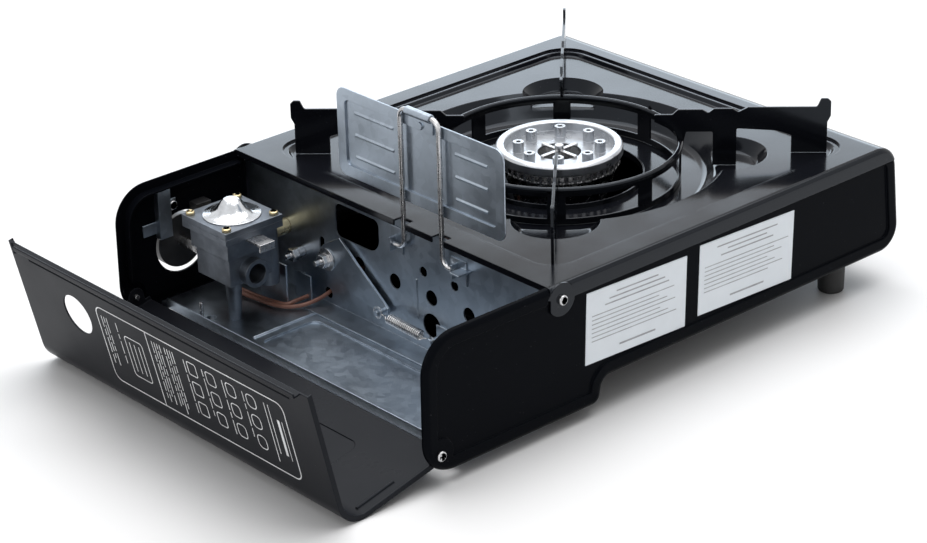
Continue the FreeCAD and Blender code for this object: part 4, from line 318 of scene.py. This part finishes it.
def softened(node, bends=(), material=None, width=EDGE_MM):
    """The node's own shape with sharp edges rounded; bends are (test of an edge, width) for wider ones."""
    slot = SLOT_OF[node]
    mesh = frame["nodes"][node].data.copy()
    piece = made(node + "_finish", mesh, BODY_OF[node], material or MATERIALS[slot])
    bpy.ops.object.mode_set(mode="EDIT")
    bpy.context.tool_settings.mesh_select_mode = (False, True, False)
    bpy.ops.mesh.select_all(action="SELECT")
    bpy.ops.mesh.remove_doubles(threshold=MERGE_MM * MM)
    bpy.ops.mesh.dissolve_limited(angle_limit=math.radians(FLAT_TURN))
    for test, bend_width in bends:
        bevel_edges(piece, bend_width, BEND_STEPS, BEND_TURN, test)
    bevel_edges(piece, width, EDGE_STEPS, SHARP_TURN)
    bpy.ops.object.mode_set(mode="OBJECT")
    bpy.ops.object.shade_smooth_by_angle(angle=math.radians(SHARP_TURN))
    bpy.ops.object.modifier_add(type="WEIGHTED_NORMAL")
    piece.modifiers[-1].keep_sharp = True
    bpy.ops.object.modifier_apply(modifier=piece.modifiers[-1].name)
    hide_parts(node)
    return piece


# Floor, light and camera
FLOOR_SIDE = 12.0
ROOM_LEVEL, SEEN_LEVEL = 0.36, 1.0


def floor():
    """Pale floor that keeps the shadow."""
    bpy.ops.object.select_all(action="DESELECT")
    bpy.ops.mesh.primitive_plane_add(size=FLOOR_SIDE, location=(0, 0, 0))
    piece = bpy.context.object
    piece.name = "floor"
    piece.data.materials.append(new_material("floor_white", (0.88, 0.88, 0.885), 0.0, 0.7))


def area_light(name, place, aim, size, power, colour=(1.0, 1.0, 1.0)):
    data = bpy.data.lights.new(name, "AREA")
    data.shape = "RECTANGLE"
    data.size, data.size_y = size
    data.energy = power
    data.color = colour
    lamp = bpy.data.objects.new(name, data)
    lamp.location = place
    lamp.rotation_euler = (Vector(aim) - Vector(place)).to_track_quat("-Z", "Y").to_euler()
    bpy.context.scene.collection.objects.link(lamp)


def world():
    """Pale room light; the camera and mirrors see a white background."""
    scene_world = bpy.data.worlds.new("room")
    scene_world.use_nodes = True
    bpy.context.scene.world = scene_world
    tree = scene_world.node_tree
    background = tree.nodes["Background"]
    path = tree.nodes.new("ShaderNodeLightPath")
    seen = tree.nodes.new("ShaderNodeMath")
    seen.operation = "MAXIMUM"
    seen_too = tree.nodes.new("ShaderNodeMath")
    seen_too.operation = "MAXIMUM"
    tree.links.new(path.outputs["Is Camera Ray"], seen.inputs[0])
    tree.links.new(path.outputs["Is Glossy Ray"], seen.inputs[1])
    tree.links.new(seen.outputs[0], seen_too.inputs[0])
    tree.links.new(path.outputs["Is Transmission Ray"], seen_too.inputs[1])
    level = tree.nodes.new("ShaderNodeMapRange")
    level.inputs["To Min"].default_value = ROOM_LEVEL
    level.inputs["To Max"].default_value = SEEN_LEVEL
    tree.links.new(seen_too.outputs[0], level.inputs["Value"])
    tree.links.new(level.outputs["Result"], background.inputs["Strength"])
    background.inputs["Color"].default_value = (1.0, 1.0, 1.0, 1.0)


def camera():
    """Placed as the photograph was taken: from the rear right, looking 25 degrees down."""
    frame_wide, frame_high = 927.0, 543.0
    focal_px, centre_x, centre_y = 2863.9, 402.74, 263.18
    place = Vector((928.05, 1066.44, 692.83)) * MM
    right = Vector((-0.756, 0.6537, -0.0338)).normalized()
    ahead = Vector((-0.5821, -0.695, -0.4221)).normalized()
    up = right.cross(ahead).normalized()
    right = ahead.cross(up)
    data = bpy.data.cameras.new("camera")
    data.sensor_width = 36.0
    data.lens = focal_px * data.sensor_width / frame_wide
    data.shift_x = (frame_wide / 2 - centre_x) / frame_wide
    data.shift_y = (centre_y - frame_high / 2) / frame_wide
    data.clip_end = 30.0
    piece = bpy.data.objects.new("camera", data)
    turn = Matrix((right, up, -ahead)).transposed().to_4x4()
    piece.matrix_world = Matrix.Translation(place) @ turn
    bpy.context.scene.collection.objects.link(piece)
    bpy.context.scene.camera = piece


def lights():
    """A wide box above, a cool one behind that the top reflects, and a weak one beside the lid."""
    area_light("overhead", place=(-0.3, -0.2, 1.9), aim=(0, 0, 0), size=(2.4, 2.0), power=46.0)
    area_light("back_box", place=(-1.9, -2.2, 0.78), aim=(0, 0, 0.05), size=(2.6, 1.0), power=24.0,
               colour=(0.76, 0.88, 1.0))
    area_light("side_fill", place=(2.1, 0.3, 1.1), aim=(0, 0, 0.05), size=(1.2, 1.0), power=7.0)


# Which edges are wide bends of the pressed sheets
LEVEL_SLACK, SAME_LEVEL = 0.2, 0.02
SEAT_SLACK, RIM_DEEP, FACE_DEEP = 0.6, 3.0, 2.0


def edge_ends(edge):
    first, second = edge.verts
    return first.co / MM, second.co / MM


def faces_up(edge):
    return all(face.normal.z > SAME_LEVEL for face in edge.link_faces)


def level_edge(edge, level, below=LEVEL_SLACK):
    """An edge that lies level, at this height or a little below it."""
    first, second = edge_ends(edge)
    return abs(first.z - second.z) < SAME_LEVEL and level - below < first.z < level + LEVEL_SLACK


def round_edge(edge, radius, slack=1.0):
    """An edge that runs round the burner's axis at about this radius."""
    reach = [math.hypot(point.x - BURNER.x, point.y - BURNER.y) for point in edge_ends(edge)]
    return all(abs(value - radius) < slack for value in reach)


def near_seat(edge):
    """An edge on or inside the rim of one of the four round seats."""
    for quarter in range(4):
        turn = math.radians(45 + 90 * quarter)
        seat = (BURNER.x + SEAT_REACH * math.cos(turn), BURNER.y + SEAT_REACH * math.sin(turn))
        if all(math.hypot(point.x - seat[0], point.y - seat[1]) < SEAT_R + SEAT_SLACK for point in edge_ends(edge)):
            return True
    return False


def dish_floor_bend(edge):
    return faces_up(edge) and round_edge(edge, DISH_LOW_R) and level_edge(edge, DISH_Z)


def seat_floor_bend(edge):
    return faces_up(edge) and near_seat(edge) and level_edge(edge, SEAT_Z)


def well_floor_bend(edge):
    return faces_up(edge) and level_edge(edge, WELL_Z) and not round_edge(edge, DISH_R, 30.0)


def well_rim_bend(edge):
    return faces_up(edge) and level_edge(edge, RIM_Z, RIM_DEEP) and not round_edge(edge, DISH_R, 10.0)


def face_bend(side):
    """Edges that lie in a plane along a panel's face, where the band turns down to the sunk field."""
    face = REAR_FACE if side > 0 else FRONT_FACE

    def test(edge):
        first, second = edge_ends(edge)
        depth = side * (first.y + second.y) / 2
        return abs(first.y - second.y) < SAME_LEVEL and depth > face - FACE_DEEP
    return test


# Prints: flat shapes a hair above their sheet, given in the sheet's own plane
CORNER_STEPS = 6


class Print:
    """Draws flat shapes in millimetres in one open mesh and sets them on the object."""

    def __init__(self, name):
        mesh = bpy.data.meshes.new(name)
        self.piece = bpy.data.objects.new(name, mesh)
        bpy.context.scene.collection.objects.link(self.piece)
        only(self.piece)
        bpy.ops.object.mode_set(mode="EDIT")

    def bar(self, x0, x1, y0, y1):
        centre = ((x0 + x1) / 2, (y0 + y1) / 2, 0.0)
        bpy.ops.mesh.select_all(action="DESELECT")
        bpy.ops.mesh.primitive_plane_add(size=1.0, location=centre)
        bpy.ops.transform.resize(value=(x1 - x0, y1 - y0, 1.0), center_override=centre)

    def frame(self, x0, x1, y0, y1, radius, wide):
        """A line round a rounded rectangle."""
        half = wide / 2
        bpy.context.tool_settings.mesh_select_mode = (True, False, False)
        self.bar(x0 - half, x1 + half, y0 - half, y1 + half)
        bpy.ops.mesh.bevel(offset=radius + half, offset_type="OFFSET", segments=CORNER_STEPS,
                           affect="VERTICES", clamp_overlap=False)
        bpy.context.tool_settings.mesh_select_mode = (False, False, True)
        bpy.ops.mesh.inset(thickness=wide)
        bpy.ops.mesh.delete(type="FACE")

    def strokes(self, x0, lengths, y, wide, gap=1.3):
        """A row of dashes along x."""
        at = x0
        for length in lengths:
            self.bar(at, at + length, y, y + wide)
            at += length + gap

    def put(self, place, body, material):
        bpy.ops.object.mode_set(mode="OBJECT")
        for point in self.piece.data.vertices:
            point.co = place(point.co.x, point.co.y) * MM
        self.piece.data.materials.append(material)
        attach(self.piece, body)


def about_y(point, pivot, angle):
    """The point turned about an axis along y."""
    off = point - pivot
    turned_off = Vector((off.x * math.cos(angle) + off.z * math.sin(angle), off.y,
                         off.z * math.cos(angle) - off.x * math.sin(angle)))
    return pivot + turned_off


# Lengths that the ruled rows take in turn.
LINE_LENGTHS = (9.0, 5.0, 12.0, 7.0, 4.0, 10.0, 6.0)
FINE, LINE, HEAVY = 0.5, 0.6, 0.75
PRINT_LIFT = 0.12
LID_TOP_Z = 80.4
LID_JOINT = next(joint for joint in frame["record"]["behaviour"]["joints"] if joint["name"] == "lid_hinge")
LID_PIVOT = Vector(LID_JOINT["pos_m"]) / MM
LID_OPEN = math.radians(LID_JOINT["range_deg"][1])
# The lid's print is drawn with its pivot at this x, as the lid lies closed.
DRAWN_PIVOT_X = 167.0


def dashes(first, count, share):
    return [LINE_LENGTHS[(first + k) % len(LINE_LENGTHS)] * share for k in range(count)]


def lid_print():
    """White ruled panel on the lid's outer face, drawn as the lid lies closed and turned open."""
    def place(x, y):
        closed = Vector((x + LID_PIVOT.x - DRAWN_PIVOT_X, y + LID_PIVOT.y, LID_TOP_Z + PRINT_LIFT))
        return about_y(closed, LID_PIVOT, LID_OPEN)

    sheet = Print("lid_print")
    x0, x1, y0, y1, divider = 107.0, 153.7, -53.0, 100.0, -10.0
    sheet.frame(x0, x1, y0, y1, 5.0, HEAVY)
    sheet.bar(x0, x1, divider - 0.35, divider + 0.35)
    for number, y in enumerate((-49.5, -47.3, -45.1, -37.0)):
        sheet.strokes(x0 + 5, dashes(number, 4, 0.8), y, LINE)
    sheet.frame(118.0, 143.0, -32.0, -17.0, 2.0, LINE)
    for y in (-28.5, -24.5, -20.5):
        sheet.strokes(121.0, (18.5,), y - LINE / 2, LINE)
    for number, y in enumerate((-6.0, -3.8, -1.6, 0.6, 4.6, 6.8, 9.0, 11.2)):
        sheet.strokes(x0 + 4, dashes(number * 2, 5, 0.85), y, LINE, 1.1)
    outline_wide, outline_low, outline_high = 8.0, 2.8, 9.8
    for column, y in enumerate((20.0, 35.0, 51.0, 67.0)):
        sheet.strokes(x0 + 5, dashes(column, 4, 0.9), y, LINE)
        for x in (112.0, 124.5, 137.0):
            sheet.frame(x, x + outline_wide, y + outline_low, y + outline_high, 1.2 + column * 0.5, LINE)
    for x, length, y, wide in ((112.0, 36.0, 84.0, LINE), (112.0, 30.0, 87.0, LINE),
                               (119.0, 22.0, 92.0, 1.9), (119.0, 24.0, 95.6, FINE)):
        sheet.strokes(x, (length,), y, wide)
    sheet.put(place, "lid", PRINT)


def label_print():
    """Fine grey ruled rows on the two stickers."""
    low, high = mm_box("rating_labels")
    tilt = math.radians(-2.0)
    half_long, half_high = 36.0, 20.0
    span = half_long * math.cos(tilt) + half_high * abs(math.sin(tilt))
    first_row, heading_pitch, heading_gap, row_pitch = 15.2, 2.7, 1.2, 2.35
    heading_lengths = (46.0, 30.0, 40.0)
    rows, row_start, row_long, ragged = 7, -32.0, 64.0, 17
    for number, centre_x in enumerate((low.x + span, high.x - span)):
        centre = Vector((centre_x, high.y + PRINT_LIFT / 2, (low.z + high.z) / 2))

        def place(x, y):
            return about_y(centre + Vector((-x, 0, y)), centre, tilt)

        sheet = Print("label_print_%d" % (number + 1))
        row = first_row
        for k in range(len(heading_lengths)):
            length = heading_lengths[(k + number) % len(heading_lengths)]
            sheet.bar(-length / 2, length / 2, row, row + HEAVY)
            row -= heading_pitch
        row -= heading_gap
        for k in range(rows):
            length = row_long - (k * 11 + number * 5) % ragged
            sheet.bar(row_start, row_start + length, row, row + FINE)
            row -= row_pitch
        sheet.bar(-12.0, 14.0, -15.4, -14.4)
        sheet.put(place, "housing", INK)


KEPT_AS_CAST = {"toggle_spring", "ignition_lead", "wire_bail", "regulator_diaphragm"}
PAN_SUPPORT = [name for name in frame["nodes"] if name == "pan_ring" or name.startswith("pan_arm")]
LOOKS = {
    "top_plate": {"material": TOP_ENAMEL, "bends": (
        (well_floor_bend, 0.9), (dish_floor_bend, 2.2), (seat_floor_bend, 1.6), (well_rim_bend, 0.35))},
    "rear_panel": {"bends": ((face_bend(1), 0.6),)},
    "front_panel": {"bends": ((face_bend(-1), 0.6),)},
    "lid_panel": {"material": SATIN},
    **{name: {"material": TOP_ENAMEL, "width": 0.25} for name in PAN_SUPPORT},
}
for node_name, node in frame["nodes"].items():
    node.data.materials.clear()
    node.data.materials.append(MATERIALS[SLOT_OF[node_name]])
for node_name in sorted(frame["nodes"]):
    if node_name not in KEPT_AS_CAST:
        softened(node_name, **LOOKS.get(node_name, {}))
lid_print()
label_print()

floor()
lights()
world()
camera()
bpy.context.scene.view_settings.view_transform = "Standard"
